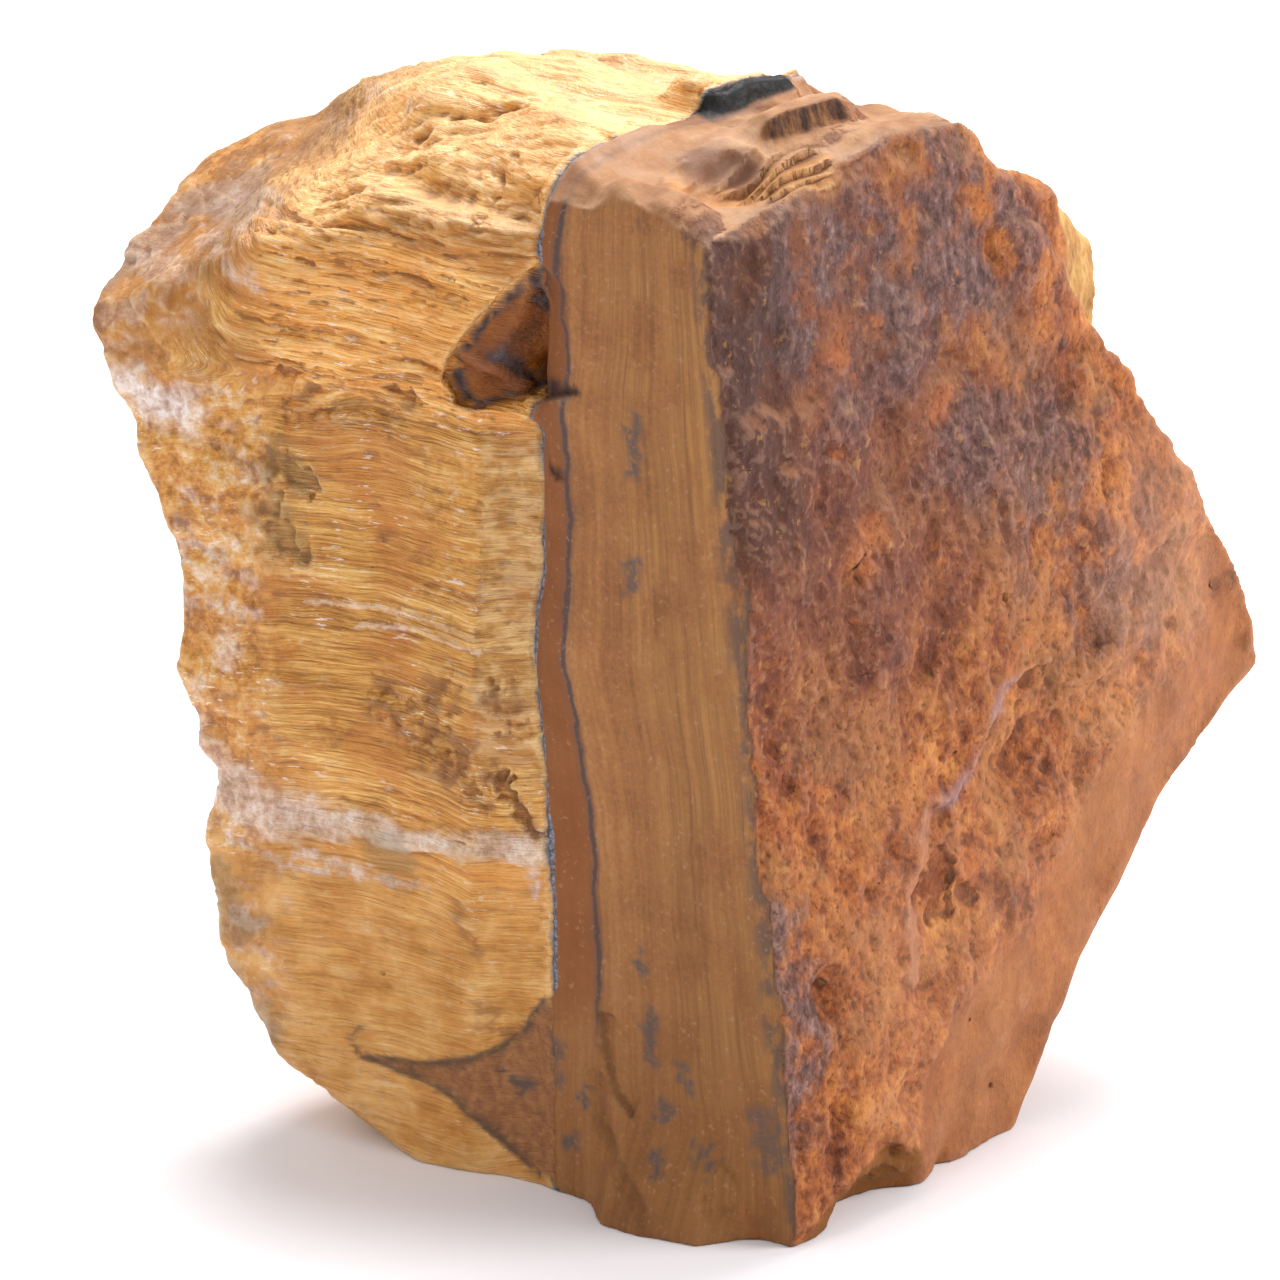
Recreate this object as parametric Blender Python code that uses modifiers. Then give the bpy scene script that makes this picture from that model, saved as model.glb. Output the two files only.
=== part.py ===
"""Rough tiger's eye: one broken piece of a cross-fibre vein still joined to its banded ironstone.

Metres, +Z up, origin under the middle of the stone. +X runs across the layers, from the vein's
far wall to the rusty bedding face of the ironstone. The sizes named below are in millimetres,
and the model is scaled to metres once its form is cut.
"""
import math

import bmesh
import bpy
from mathutils import Matrix, Vector, noise

MM = 0.001

# Driving dimensions.
HEIGHT = 69.0
CORNER = Vector((25.6, -16.6, 0.0))  # foot of the edge between the bedding face and the clean break
BEDDING_LEAN = 6.0  # degrees that the bedding face leans back
BREAK_AZIMUTH = -75.0  # degrees, the way the clean break across the layers faces
SEAM_LEFT = 19.2  # from the corner to the seam between ironstone and vein, along the clean break
SEAM_X = 7.6  # where the seam lies in the middle of the stone
VEIN_TOP = 62.8  # height of the vein's front edge under its shoulder
LEDGE = 52.0  # height of the ledge where the vein's cap overhangs its lower block

# Fineness of the surface.
CELL = 0.7  # the form is rebuilt in cells of this size before its relief is pushed in and out
TRIANGLES = 9000
UNDERCUT = 2.5  # the form runs on this far below the floor, and is then cut flat at it


def on_break(left, up):
    """A point on the clean break: so far left of its corner, and so far up."""
    azimuth = math.radians(BREAK_AZIMUTH)
    rightward = Vector((-math.sin(azimuth), math.cos(azimuth), 0.0))
    return CORNER - left * rightward + Vector((0.0, 0.0, up))


def facing(azimuth, tilt):
    """Unit vector at an azimuth from +X and a tilt above level, in degrees."""
    a = math.radians(azimuth)
    t = math.radians(tilt)
    return Vector((math.cos(a) * math.cos(t), math.sin(a) * math.cos(t), math.sin(t)))


# Each flat: the way it faces (azimuth and tilt in degrees) and a point that it passes through.
FLATS = {
    "bedding face": (0.0, BEDDING_LEAN, CORNER),
    "clean break": (BREAK_AZIMUTH, 0.0, CORNER),
    "top": (100.0, 87.0, Vector((5.0, -15.0, HEIGHT))),
    "top chamfer of the ironstone": (BREAK_AZIMUTH, 48.0, on_break(10.0, 66.0)),
    "top corner of the ironstone": (-31.0, 70.0, Vector((18.7, -15.0, 65.4))),
    "slope down to the vein's far wall": (-123.0, 61.0, on_break(50.5, 55.3)),
    "far wall": (180.0, -16.3, Vector((-28.8, -28.9, 53.5))),
    "far wall, top": (180.0, 8.0, Vector((-30.3, -20.0, 58.0))),
    "upper back left": (140.0, 52.0, Vector((-19.7, -9.5, 66.2))),
    "upper back": (103.0, 34.0, Vector((19.5, 11.8, 58.3))),
    "middle back": (100.0, 26.0, Vector((22.1, 28.0, 33.9))),
    "back left": (150.0, 6.0, Vector((-22.0, 8.0, 30.0))),
    "lower back": (100.0, -43.0, Vector((21.5, 32.2, 25.6))),
    "lower right face": (7.0, -5.0, Vector((22.6, 23.8, 29.0))),
    "underside of the vein": (-170.0, -45.0, on_break(38.3, 2.9)),
    "underside, front": (-110.0, -62.0, on_break(33.7, 2.4)),
    "lower back left": (160.0, -40.0, Vector((-14.0, 8.0, 6.0))),
    "base": (0.0, -90.0, Vector((0.0, 0.0, -UNDERCUT))),
}


def cut_off(bm, through, outward):
    """Cut away what lies outside a plane, and fill the cut."""
    everything = bm.verts[:] + bm.edges[:] + bm.faces[:]
    bmesh.ops.bisect_plane(
        bm, geom=everything, dist=0.01, plane_co=through, plane_no=outward, clear_outer=True
    )
    bmesh.ops.holes_fill(bm, edges=[edge for edge in bm.edges if edge.is_boundary])


def cut_block(flats, size=3.0 * HEIGHT, middle=Vector()):
    """A block with everything outside each of its flats cut away."""
    bm = bmesh.new()
    bmesh.ops.create_cube(bm, size=size, matrix=Matrix.Translation(middle))
    for azimuth, tilt, through in flats:
        cut_off(bm, through, facing(azimuth, tilt))
    bmesh.ops.recalc_face_normals(bm, faces=bm.faces)
    return bm


def rounded_lump(middle, radii, turn=0.0, lean=0.0):
    """An ellipsoid, turned about Z and then leaned about its own Y axis, in degrees."""
    bm = bmesh.new()
    place = Matrix.Translation(middle)
    place @= Matrix.Rotation(math.radians(turn), 4, "Z")
    place @= Matrix.Rotation(math.radians(lean), 4, "Y")
    place @= Matrix.Diagonal((*radii, 1.0))
    bmesh.ops.create_icosphere(bm, subdivisions=4, radius=1.0, matrix=place)
    return bm


def ledge_block(middle, size, turn, lean):
    """A small slab that stands proud of the top."""
    bm = bmesh.new()
    place = Matrix.Translation(middle)
    place @= Matrix.Rotation(math.radians(turn), 4, "Z")
    place @= Matrix.Rotation(math.radians(lean), 4, "X")
    place @= Matrix.Diagonal((*size, 1.0))
    bmesh.ops.create_cube(bm, size=1.0, matrix=place)
    return bm


def long_hollow(middle, radius, turn):
    """A level cylinder that cuts a long shallow hollow; its axis is turned from +X, in degrees."""
    bm = bmesh.new()
    place = Matrix.Translation(middle)
    place @= Matrix.Rotation(math.radians(turn), 4, "Z")
    place @= Matrix.Rotation(math.radians(90.0), 4, "Y")
    bmesh.ops.create_cone(
        bm, cap_ends=True, segments=160, radius1=radius, radius2=radius, depth=200.0, matrix=place
    )
    return bm


def chips():
    """What has broken away, by name."""
    shoulder = [
        (-88.0 + 180.0, -48.0, on_break(27.0, VEIN_TOP)),
        (0.0, 0.0, on_break(SEAM_LEFT, 0.0)),
    ]
    notch = [
        (150.0, 30.0, on_break(SEAM_LEFT, 61.8)),
        (0.0, -82.0, on_break(22.0, 52.2)),
        (8.0, 0.0, on_break(SEAM_LEFT - 0.1, 0.0)),
    ]
    return {
        "vein_shoulder": cut_block(shoulder),
        "notch": cut_block(notch, size=24.0, middle=on_break(24.0, 56.0)),
        "foot_arch": rounded_lump(Vector((28.0, -8.5, -0.6)), (6.0, 6.0, 4.6), turn=10.0),
        "right_hollow": long_hollow(Vector((23.0, 51.9, -17.1)), 47.0, 8.0),
        "left_hollow": long_hollow(Vector((-74.3, -20.0, 24.7)), 55.7, 90.0),
        "edge_groove": rounded_lump(on_break(47.6, 22.9), (3.4, 5.0, 2.4)),
        "top_scoop": rounded_lump(Vector((14.0, -14.5, 74.5)), (9.0, 6.0, 6.4), turn=60.0),
    }


def additions():
    """What stands proud of the flats, by name."""
    back_block = [
        (103.0, 49.0, Vector((16.0, 20.1, 55.9))),
        (0.0, BEDDING_LEAN, CORNER - Vector((0.9, 0.0, 0.0))),
        (28.0, 6.0, Vector((18.4, 14.0, 57.0))),
        (95.0, 2.0, Vector((16.0, 20.8, 53.0))),
        (100.0, -25.0, Vector((16.0, 20.9, 50.5))),
        (96.0, 68.0, Vector((15.0, 12.0, 62.4))),
        (205.0, 20.0, Vector((4.0, 14.0, 58.0))),
        (-90.0, 0.0, Vector((0.0, 4.0, 0.0))),
    ]
    strip_foot = [
        (BREAK_AZIMUTH, 24.0, on_break(10.0, 6.5)),
        (-128.0, 18.0, on_break(14.5, 2.0)),
        (-25.0, 16.0, on_break(4.5, 2.0)),
        (BREAK_AZIMUTH + 180.0, 0.0, on_break(10.0, 0.0) + Vector((0.0, 2.0, 0.0))),
        (0.0, -90.0, Vector((0.0, 0.0, -UNDERCUT))),
    ]
    return {
        "black_ledge": ledge_block(Vector((7.4, -3.2, 68.9)), (3.0, 9.4, 2.8), -6.0, -3.0),
        "brown_ledge": ledge_block(Vector((12.8, -4.2, 68.4)), (2.8, 7.6, 2.8), -4.0, 0.0),
        "back_block": cut_block(back_block, size=40.0, middle=Vector((12.0, 16.0, 55.0))),
        "strip_foot": cut_block(strip_foot, size=40.0, middle=on_break(10.0, 0.0)),
        "top_swell": rounded_lump(Vector((-2.0, -9.0, 64.4)), (16.0, 7.0, 4.9), turn=-10.0),
    }


def step_up(value, start, end):
    """0 before start and 1 after end, with a soft step between them."""
    t = min(1.0, max(0.0, (value - start) / (end - start)))
    return t * t * (3.0 - 2.0 * t)


def seam_depth(point):
    """How far a point is on the ironstone's side of the seam; negative in the vein."""
    wander = 0.7 * noise.noise(Vector((3.1, 0.10 * point.y, 0.13 * point.z)))
    return point.x - SEAM_X - wander


def splintered(point):
    """Ledges and splinters of the vein, drawn out along its fibres, which run across it."""
    along = Vector((0.035 * point.x, 0.20 * point.y, 0.30 * point.z))
    ledges = noise.noise(along) + 0.5 * noise.noise(2.3 * along + Vector((7.0, 2.0, 5.0)))
    terrace = math.floor(3.0 * ledges) / 3.0
    lumps = noise.fractal(0.09 * point, 1.0, 2.1, 3)
    return 0.9 * (0.5 * ledges + 0.5 * terrace) + 0.9 * lumps


def cap_and_selvage(point):
    """How far the break steps back under the vein's cap and beside its seam."""
    wander = noise.noise(Vector((0.16 * point.x, 4.0, 0.1 * point.z)))
    below = LEDGE - point.z + 1.6 * wander
    under_cap = step_up(below, 0.0, 0.9) * (1.0 - step_up(below, 4.0, 24.0))
    under_cap *= step_up(point.x, -20.0, -11.0)
    beside_seam = step_up(point.x + 1.5 * wander, 1.8, 4.8) * step_up(below, -1.0, 1.0)
    return -1.1 * under_cap - 0.4 * beside_seam


def rusted(point):
    """Lumps, pits and streaks of the bedding face, and the step that a lost flake left."""
    lumps = noise.fractal(0.13 * point, 0.9, 2.1, 4)
    pits = max(0.0, noise.noise(0.42 * point) - 0.28)
    flake_edge = 24.0 + 0.55 * point.y + 3.0 * noise.noise(0.16 * point)
    lost_flake = 1.0 - step_up(point.z, flake_edge - 0.8, flake_edge + 0.2)
    fades = step_up(point.z, 8.0, 18.0) * step_up(point.y, -8.0, -3.0)
    return 0.75 * lumps - 2.0 * pits - 0.8 * lost_flake * fades


def clean_grain(point):
    """The ironstone's broken sides are nearly smooth, with faint ribs along their layers."""
    ribs = noise.noise(Vector((0.5 * point.x, 0.06 * point.y, 0.06 * point.z)))
    return 0.18 * ribs + 0.45 * noise.fractal(0.08 * point, 1.0, 2.0, 2)


def relief(point, normal):
    """How far the surface stands out from the plain flats at a point."""
    bedding = step_up(normal.dot(facing(0.0, BEDDING_LEAN)), 0.90, 0.985)
    clean = step_up(normal.dot(facing(BREAK_AZIMUTH, 0.0)), 0.80, 0.95)
    ironstone = clean_grain(point) * (1.0 - bedding) + rusted(point) * bedding
    vein = splintered(point) * (1.0 - 0.45 * clean) + cap_and_selvage(point) * clean
    in_vein = step_up(-seam_depth(point), -0.3, 0.9)
    return vein * in_vein + ironstone * (1.0 - in_vein)


def push_relief(mesh):
    """Move each vertex of a mesh along its normal by the relief there."""
    bm = bmesh.new()
    bm.from_mesh(mesh)
    bm.normal_update()
    for vert in bm.verts:
        vert.co += relief(vert.co, vert.normal) * vert.normal
    bm.to_mesh(mesh)
    bm.free()


def to_object(name, bm, collection):
    """A mesh object made from a bmesh, which is freed."""
    mesh = bpy.data.meshes.new(name)
    bm.to_mesh(mesh)
    bm.free()
    obj = bpy.data.objects.new(name, mesh)
    collection.objects.link(obj)
    return obj


def cut_with(rough, operation, shapes, cutters):
    """Add a Boolean to the rough form for each of the shapes, which stay in the scene as wires."""
    for name, bm in shapes.items():
        tool = to_object(name, bm, cutters)
        tool.hide_render = True
        tool.display_type = "WIRE"
        boolean = rough.modifiers.new(name, "BOOLEAN")
        boolean.operation = operation
        boolean.object = tool
        boolean.solver = "EXACT"


def bake_modifiers(obj):
    """Replace an object's mesh with what its modifiers make of it."""
    depsgraph = bpy.context.evaluated_depsgraph_get()
    mesh = bpy.data.meshes.new_from_object(obj.evaluated_get(depsgraph))
    obj.modifiers.clear()
    obj.data = mesh


def drop_crumbs(bm):
    """Delete every loose bit but the largest."""
    unseen = set(bm.verts)
    bodies = []
    while unseen:
        body = [unseen.pop()]
        for vert in body:
            near = {edge.other_vert(vert) for edge in vert.link_edges} & unseen
            unseen -= near
            body.extend(near)
        bodies.append(body)
    bodies.sort(key=len)
    for body in bodies[:-1]:
        bmesh.ops.delete(bm, geom=body, context="VERTS")


def cut_flat_base(mesh):
    """Cut a mesh off at the floor, so that the stone rests on a flat patch, and fill the cut."""
    bm = bmesh.new()
    bm.from_mesh(mesh)
    drop_crumbs(bm)
    cut_off(bm, Vector(), facing(0.0, -90.0))
    bmesh.ops.triangulate(bm, faces=bm.faces)
    bmesh.ops.recalc_face_normals(bm, faces=bm.faces)
    bm.to_mesh(mesh)
    bm.free()


def stone_material():
    """Ochre stone, matt with a faint shine; its two colours come with the finish."""
    material = bpy.data.materials.new("tigers_eye")
    material.use_nodes = True
    surface = material.node_tree.nodes["Principled BSDF"]
    surface.inputs["Base Color"].default_value = (0.42, 0.20, 0.06, 1.0)
    surface.inputs["Roughness"].default_value = 0.55
    surface.inputs["Metallic"].default_value = 0.0
    return material


def main():
    for obj in list(bpy.data.objects):
        bpy.data.objects.remove(obj)
    scene = bpy.context.scene
    collection = bpy.data.collections.new("rough_tigers_eye")
    cutters = bpy.data.collections.new("cutters")
    scene.collection.children.link(collection)
    scene.collection.children.link(cutters)

    stone = to_object("stone", cut_block(FLATS.values()), collection)
    cut_with(stone, "UNION", additions(), cutters)
    cut_with(stone, "DIFFERENCE", chips(), cutters)
    cells = stone.modifiers.new("cells", "REMESH")
    cells.mode = "VOXEL"
    cells.voxel_size = CELL
    bake_modifiers(stone)
    push_relief(stone.data)
    fewer = stone.modifiers.new("fewer", "DECIMATE")
    fewer.ratio = TRIANGLES / (2.0 * len(stone.data.polygons))
    bake_modifiers(stone)
    cut_flat_base(stone.data)
    stone.data.transform(Matrix.Scale(MM, 4))
    stone.data.materials.append(stone_material())


main()
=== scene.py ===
"""Finish of the rough tiger's eye: a silky golden vein grown onto matt, banded ironstone.

Both pieces are cut from one fine copy of the carried solid. Sizes are in millimetres until a
mesh is finished, because the grain, the pits and the bands are all of that order.
"""
import functools
import math

import bmesh
import bpy
import numpy as np
from mathutils import Matrix, Vector


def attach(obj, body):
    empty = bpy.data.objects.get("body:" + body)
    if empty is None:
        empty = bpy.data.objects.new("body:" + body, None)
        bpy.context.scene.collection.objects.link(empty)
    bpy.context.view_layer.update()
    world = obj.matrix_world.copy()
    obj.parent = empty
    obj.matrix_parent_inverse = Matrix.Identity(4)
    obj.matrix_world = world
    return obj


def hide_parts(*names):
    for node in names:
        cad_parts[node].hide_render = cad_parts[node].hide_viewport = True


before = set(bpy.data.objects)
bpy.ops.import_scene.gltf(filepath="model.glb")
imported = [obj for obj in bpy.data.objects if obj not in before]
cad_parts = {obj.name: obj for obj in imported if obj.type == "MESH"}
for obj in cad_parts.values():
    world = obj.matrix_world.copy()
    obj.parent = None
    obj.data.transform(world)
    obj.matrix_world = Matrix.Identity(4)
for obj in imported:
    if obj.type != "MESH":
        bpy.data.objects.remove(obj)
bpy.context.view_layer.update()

MM = 0.001

# The stone's own planes, as in its solid.
CORNER = np.array([25.6, -16.6, 0.0])  # foot of the edge between the bedding face and the break
BREAK_AZIMUTH = math.radians(-75.0)
BEDDING_LEAN = math.radians(6.0)
BREAK_OUT = np.array([math.cos(BREAK_AZIMUTH), math.sin(BREAK_AZIMUTH), 0.0])
BREAK_RIGHT = np.array([-math.sin(BREAK_AZIMUTH), math.cos(BREAK_AZIMUTH), 0.0])
BEDDING_OUT = np.array([math.cos(BEDDING_LEAN), 0.0, math.sin(BEDDING_LEAN)])
LEDGE = 50.8  # height of the ledge under the vein's cap

# How far the larger marks reach into the stone or stand out of it.
PIT_DEPTH = 0.42
CREVICE_DEPTH = 0.35
TOP_CRACK_DEPTH = 0.34
CREASE_DEPTH = 0.34
FLAKE_DEPTH = 0.60
SHELF_DEPTH = 0.95
SCOOP_DEPTH = 1.1
LUMP_HEIGHT = 0.42
RISE_HEIGHT = 1.5
LIP_LIFT = 0.9
PEAK_DROP = 1.7
COLOUR_DEPTH = (4.5, 2.5)  # how far in behind the break its colours on the vein fade out

# Places along the break, as distances left of the corner.
SEAM_LEFT = 19.0  # about where the seam lies
SELVAGE = 24.0  # where the fibres begin to straighten towards the seam
VEIN_MIDDLE = 30.0  # where the fibres' arch turns
FOLD = 41.0  # where the cap's fibres begin to fold down
# The small shelf of ironstone under the notch, which falls towards the vein.
SHELF_START = 16.3
SHELF_HEIGHT = 53.9
SHELF_FALL = 0.29

# The seam between vein and ironstone: (height, distance left of the corner along the break).
SEAM = (
    (-3.0, 18.2), (15.7, 18.1), (23.3, 18.4), (31.0, 18.9), (36.2, 20.1), (45.8, 19.7),
    (52.5, 20.4), (57.0, 19.4), (62.7, 19.0), (72.0, 18.4),
)
# The outline of a tongue of ironstone low on the break, as (left, up) places.
TONGUE = (
    (17.0, 14.5), (18.9, 13.2), (19.8, 12.0), (20.6, 10.6), (22.3, 9.1), (24.5, 7.9), (28.0, 6.9),
    (32.6, 6.4), (30.0, 6.0), (27.6, 5.7), (25.6, 5.0), (24.2, 4.0), (22.4, 2.6), (20.8, 1.4),
    (19.0, 0.6), (17.0, 0.5),
)

CELL = 0.18  # fineness of the copy that the relief is pushed into
SMOOTHING = 14  # rounds that take the facets off the copy
ROUNDING = 120  # rounds of evening out that wear the granular end of the vein
NEARBY = 5  # rounds that compare a point with its near surroundings
ALL_ROUND = 40  # rounds that compare it with wider ones
MOST_TRIANGLES = 196000  # in each part, which keeps it whole in the export

# The room, in metres.
FLOOR_REACH = 6.0
ROOM_LIGHT = 0.8
LIT_MIDDLE = Vector((0.0, 0.0, 0.035))
CAMERA_AZIMUTH = math.radians(45.0)
CAMERA_RISE = math.radians(20.0)
CAMERA_DISTANCE = 0.45
CAMERA_AIM = Vector((0.003, -0.0085, 0.033))
VIEW_WIDTH = 0.08192  # of the stone's surroundings at the aim, across the whole picture


# ---------------------------------------------------------------- noise and soft masks

def cell_number(x, y, z, seed):
    """A repeatable scrambled whole number for each corner of the noise's cells."""
    mixed = (x * 73856093) ^ (y * 19349663) ^ (z * 83492791) ^ (seed * 40503 + 977)
    mixed = (mixed ^ (mixed >> 13)) * 1274126177
    return (mixed ^ (mixed >> 15)) & 0xFFFFFF


def noise(points, seed=0):
    """Smooth noise, about -1 to 1, with cells one unit across; the seed picks one of many patterns."""
    corner = np.floor(points).astype(np.int64)
    inside = points - corner
    fade = inside ** 3 * (inside * (inside * 6.0 - 15.0) + 10.0)
    total = np.zeros(len(points))
    for step in np.ndindex(2, 2, 2):
        number = cell_number(*(corner[:, axis] + step[axis] for axis in range(3)), seed)
        reach = inside - step
        slope = ((number & 255) - 127.5) * reach[:, 0]
        slope += (((number >> 8) & 255) - 127.5) * reach[:, 1]
        slope += (((number >> 16) & 255) - 127.5) * reach[:, 2]
        share = np.where(step, fade, 1.0 - fade).prod(axis=1)
        total += share * slope
    return total / 90.0


def rough(points, seed=0, octaves=3, gain=0.5):
    """Noise summed over octaves, each half the size of the last."""
    return sum(gain ** k * noise(points * 2.0 ** k, seed + 7 * k) for k in range(octaves))


def soft(value, start, end):
    """0 at start and 1 at end, eased between them; start may be the larger."""
    t = np.clip((value - start) / (end - start), 0.0, 1.0)
    return t * t * (3.0 - 2.0 * t)


def away_from_line(points, line):
    """Distance from each point to a line through the given places, in as many axes as they have."""
    line = np.asarray(line, float)
    nearest = np.full(len(points), np.inf)
    for start, end in zip(line[:-1], line[1:]):
        run = end - start
        along = np.clip((points - start) @ run / max(run @ run, 1e-9), 0.0, 1.0)
        nearest = np.minimum(nearest, np.linalg.norm(points - start - along[:, None] * run, axis=1))
    return nearest


def near_line(points, line, width, ragged=0.5):
    """1 on a line through the given places, easing to 0 about the given width from it."""
    distance = away_from_line(points, line)
    close = distance < width * (1.0 + 1.7 * ragged)
    places = np.pad(points[close], ((0, 0), (0, 3 - points.shape[1])))
    distance[close] += ragged * width * rough(places * (0.9 / width) + 5.0, 4, 2)
    return soft(distance, width, 0.45 * width)


def wandering(points, amount=0.5, fineness=0.5):
    """The points pushed about by smooth noise, so that a straight line drawn among them meanders."""
    flat = np.pad(points, ((0, 0), (0, 3 - points.shape[1]))) * fineness
    shifts = [amount * rough(flat + 3.7 * axis, 8 + axis, 2) for axis in range(points.shape[1])]
    return points + np.stack(shifts, axis=1)


def inside_outline(points, outline):
    """True for the points of a plane that a closed outline goes round."""
    x, y = points.T
    inside = np.zeros(len(points), bool)
    for (x0, y0), (x1, y1) in zip(outline, outline[1:] + outline[:1]):
        crosses = (y0 > y) != (y1 > y)
        inside ^= crosses & (x < x0 + (x1 - x0) * (y - y0) / (y1 - y0 if y1 != y0 else 1.0))
    return inside


def within(points, outline, spread):
    """1 inside a closed outline and 0 outside it, eased over the given distance on both sides."""
    distance = away_from_line(points, outline + outline[:1])
    return soft(np.where(inside_outline(points, outline), distance, -distance), -spread, spread)


def strongest(*marks):
    """The largest of several marks at each point."""
    return np.max(marks, axis=0)


def near_any(points, lines, width, ragged=0.5):
    """1 on any of several lines, easing to 0 about the given width from them."""
    return strongest(*(near_line(points, line, width, ragged) for line in lines))


# ---------------------------------------------------------------- places on the stone

def break_places(points):
    """How far each point is left along the break, up, and in behind it, and the first two as a pair."""
    from_corner = points - CORNER
    left = -(from_corner @ BREAK_RIGHT)
    up = points[:, 2]
    return left, up, -(from_corner @ BREAK_OUT), np.stack([left, up], axis=1)


def shelf_height(left):
    """Height of the small shelf under the notch."""
    return SHELF_HEIGHT - SHELF_FALL * (left - SHELF_START)


def seam_x(points):
    """Where the seam lies across the layers, at each point's height and depth."""
    up, left = np.array(SEAM).T
    foot = CORNER[0] - np.interp(points[:, 2], up, left) * BREAK_RIGHT[0]
    inwards = points[:, 1] - (CORNER[1] - SEAM_LEFT * BREAK_RIGHT[1])
    wander = np.stack([np.zeros(len(points)), 0.22 * points[:, 1], 0.10 * points[:, 2]], axis=1)
    jitter = np.stack([np.zeros(len(points)), points[:, 1], points[:, 2]], axis=1)
    return foot + 0.8 * soft(inwards, 1.0, 6.0) * noise(wander, 3) + 0.16 * rough(jitter * 0.5, 5, 2)


def grain(points):
    """Each point's place along and across the fibres, which arch and bend as they cross the vein."""
    left, up, inward, _ = break_places(points)
    in_cap = soft(up, LEDGE - 1.2, LEDGE + 0.8)
    arch = np.where(left < VEIN_MIDDLE, 0.015, 0.007) * (left - VEIN_MIDDLE) ** 2
    beside_seam = 0.5 + 0.15 * (left - SELVAGE)
    lower = up + np.where(left < SELVAGE, beside_seam, arch)
    past_fold = left - (FOLD - 0.35 * np.clip(up - 54.0, 0.0, 12.0))
    fold = 0.20 * np.clip(past_fold, 0.0, 6.0) ** 2 + 2.4 * np.clip(past_fold - 6.0, 0.0, None)
    upper = up - fold - 0.05 * (left - 22.0)
    sway = 0.5 * rough(points * 0.10, 11, 2) + 0.12 * noise(points * 0.5, 13)
    across = lower + (upper - lower) * in_cap + sway
    depth = inward - 0.7 * fold * in_cap + 0.6 * noise(points * 0.08, 12)
    return np.stack([left, across, depth], axis=1)


# ---------------------------------------------------------------- relief

# Marks on the vein: (left, up) places on the break, and (x, y, z) places on its top and far left.
NOTCH_RIM = ((19.0, 61.8), (21.1, 60.0), (23.6, 57.4), (25.5, 54.9), (26.1, 53.2))
NOTCH_FOOT = ((26.1, 53.2), (25.4, 51.8), (24.0, 51.5), (21.3, 52.4))
NOTCH = NOTCH_RIM + NOTCH_FOOT[1:] + ((16.5, 53.9), (16.5, 60.0))
NOTCH_STREAK = ((25.5, 54.8), (23.4, 53.9), (22.0, 52.4))
NOTCH_STAINS = (((22.8, 54.8), (22.2, 53.2)), ((19.7, 60.2), (19.9, 58.4)))
PITS = (((39.3, 45.4), (36.9, 44.5)), ((39.7, 43.0), (39.4, 42.3)), ((39.2, 41.0), (37.6, 39.8)))
RIDGES = (
    ((36.8, 36.5), (32.6, 37.1), (28.3, 37.2), (23.9, 36.4)),
    ((32.7, 35.8), (28.3, 36.3), (23.8, 35.6)),
)
CAP_CRACKS = (
    ((38.5, 49.6), (36.8, 49.5), (34.9, 50.3), (31.6, 50.4), (29.8, 50.6), (27.0, 50.8)),
    ((38.3, 50.9), (36.4, 51.6), (34.8, 51.2)),
)
SELVAGE_EDGE = ((23.9, 50.0), (24.2, 45.0), (23.7, 40.5), (24.0, 35.5), (23.6, 31.0), (23.9, 27.5))
CREVICE = ((21.8, 27.6), (21.2, 26.2), (20.3, 25.2), (19.2, 24.9))
CRUMBLED = (
    ((31.0, 31.1), (28.7, 30.4)),
    ((26.6, 32.4), (26.8, 29.8), (25.0, 28.9), (25.3, 27.6), (23.4, 26.6)),
    ((22.4, 33.4), (21.6, 31.6)),
)
TOP_CRACKS = (
    ((-7.1, -18.1, 66.2), (-2.9, -16.1, 68.0), (-1.1, -15.0, 69.3), (1.0, -12.0, 69.5)),
    ((-13.6, -24.3, 61.4), (-8.2, -24.9, 62.0), (-2.7, -24.2, 62.5)),
    ((-11.4, -22.8, 62.3), (-7.1, -22.7, 64.1)),
    ((2.3, -19.9, 66.4), (3.0, -22.4, 63.8)),
)
RISE = ((-16.0, -11.2, 65.9), (-8.2, -13.3, 68.3))
TOP_BUNDLE = ((-10.3, -20.2, 64.2), (-3.1, -19.8, 66.3))
CAP_SHADE = ((-1.4, -23.4, 63.9), (2.7, -22.9, 63.2), (5.5, -22.2, 62.5))
QUARTZ = (
    (((-22.5, -20.6, 59.5), (-16.2, -23.8, 60.8)), 1.9),
    (((-26.9, -24.6, 56.6), (-19.9, -27.6, 56.8)), 1.5),
    (((-19.9, -24.5, 58.5), (-13.3, -27.1, 57.8)), 1.2),
    (((-23.0, -29.6, 49.6), (-18.5, -28.0, 47.7)), 2.0),
    (((-24.6, -29.8, 53.3), (-24.2, -29.8, 53.0)), 1.1),
)
SILKY = (
    ((-17.5, -11.9, 65.2), (-14.5, -12.3, 66.2), (-11.0, -13.6, 67.0), (-8.0, -15.6, 67.5)),
    ((-20.5, -13.5, 63.8), (-18.0, -14.5, 64.8)),
)
DUSKY = (
    ((-26.5, -20.4, 58.3), (-22.1, -18.7, 61.1), (-20.6, -20.9, 60.0)),
    ((-26.9, -27.0, 55.2), (-26.0, -23.4, 57.2)),
)
# A band of quartz across the break: (left, up, half its width).
QUARTZ_BAND = (
    (47.0, 25.0, 2.6), (42.0, 22.6, 2.3), (37.3, 21.6, 1.9), (33.0, 22.2, 1.2), (28.5, 22.4, 0.7),
    (24.5, 22.5, 0.8), (22.3, 23.0, 1.2), (18.8, 23.6, 1.5),
)
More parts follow.
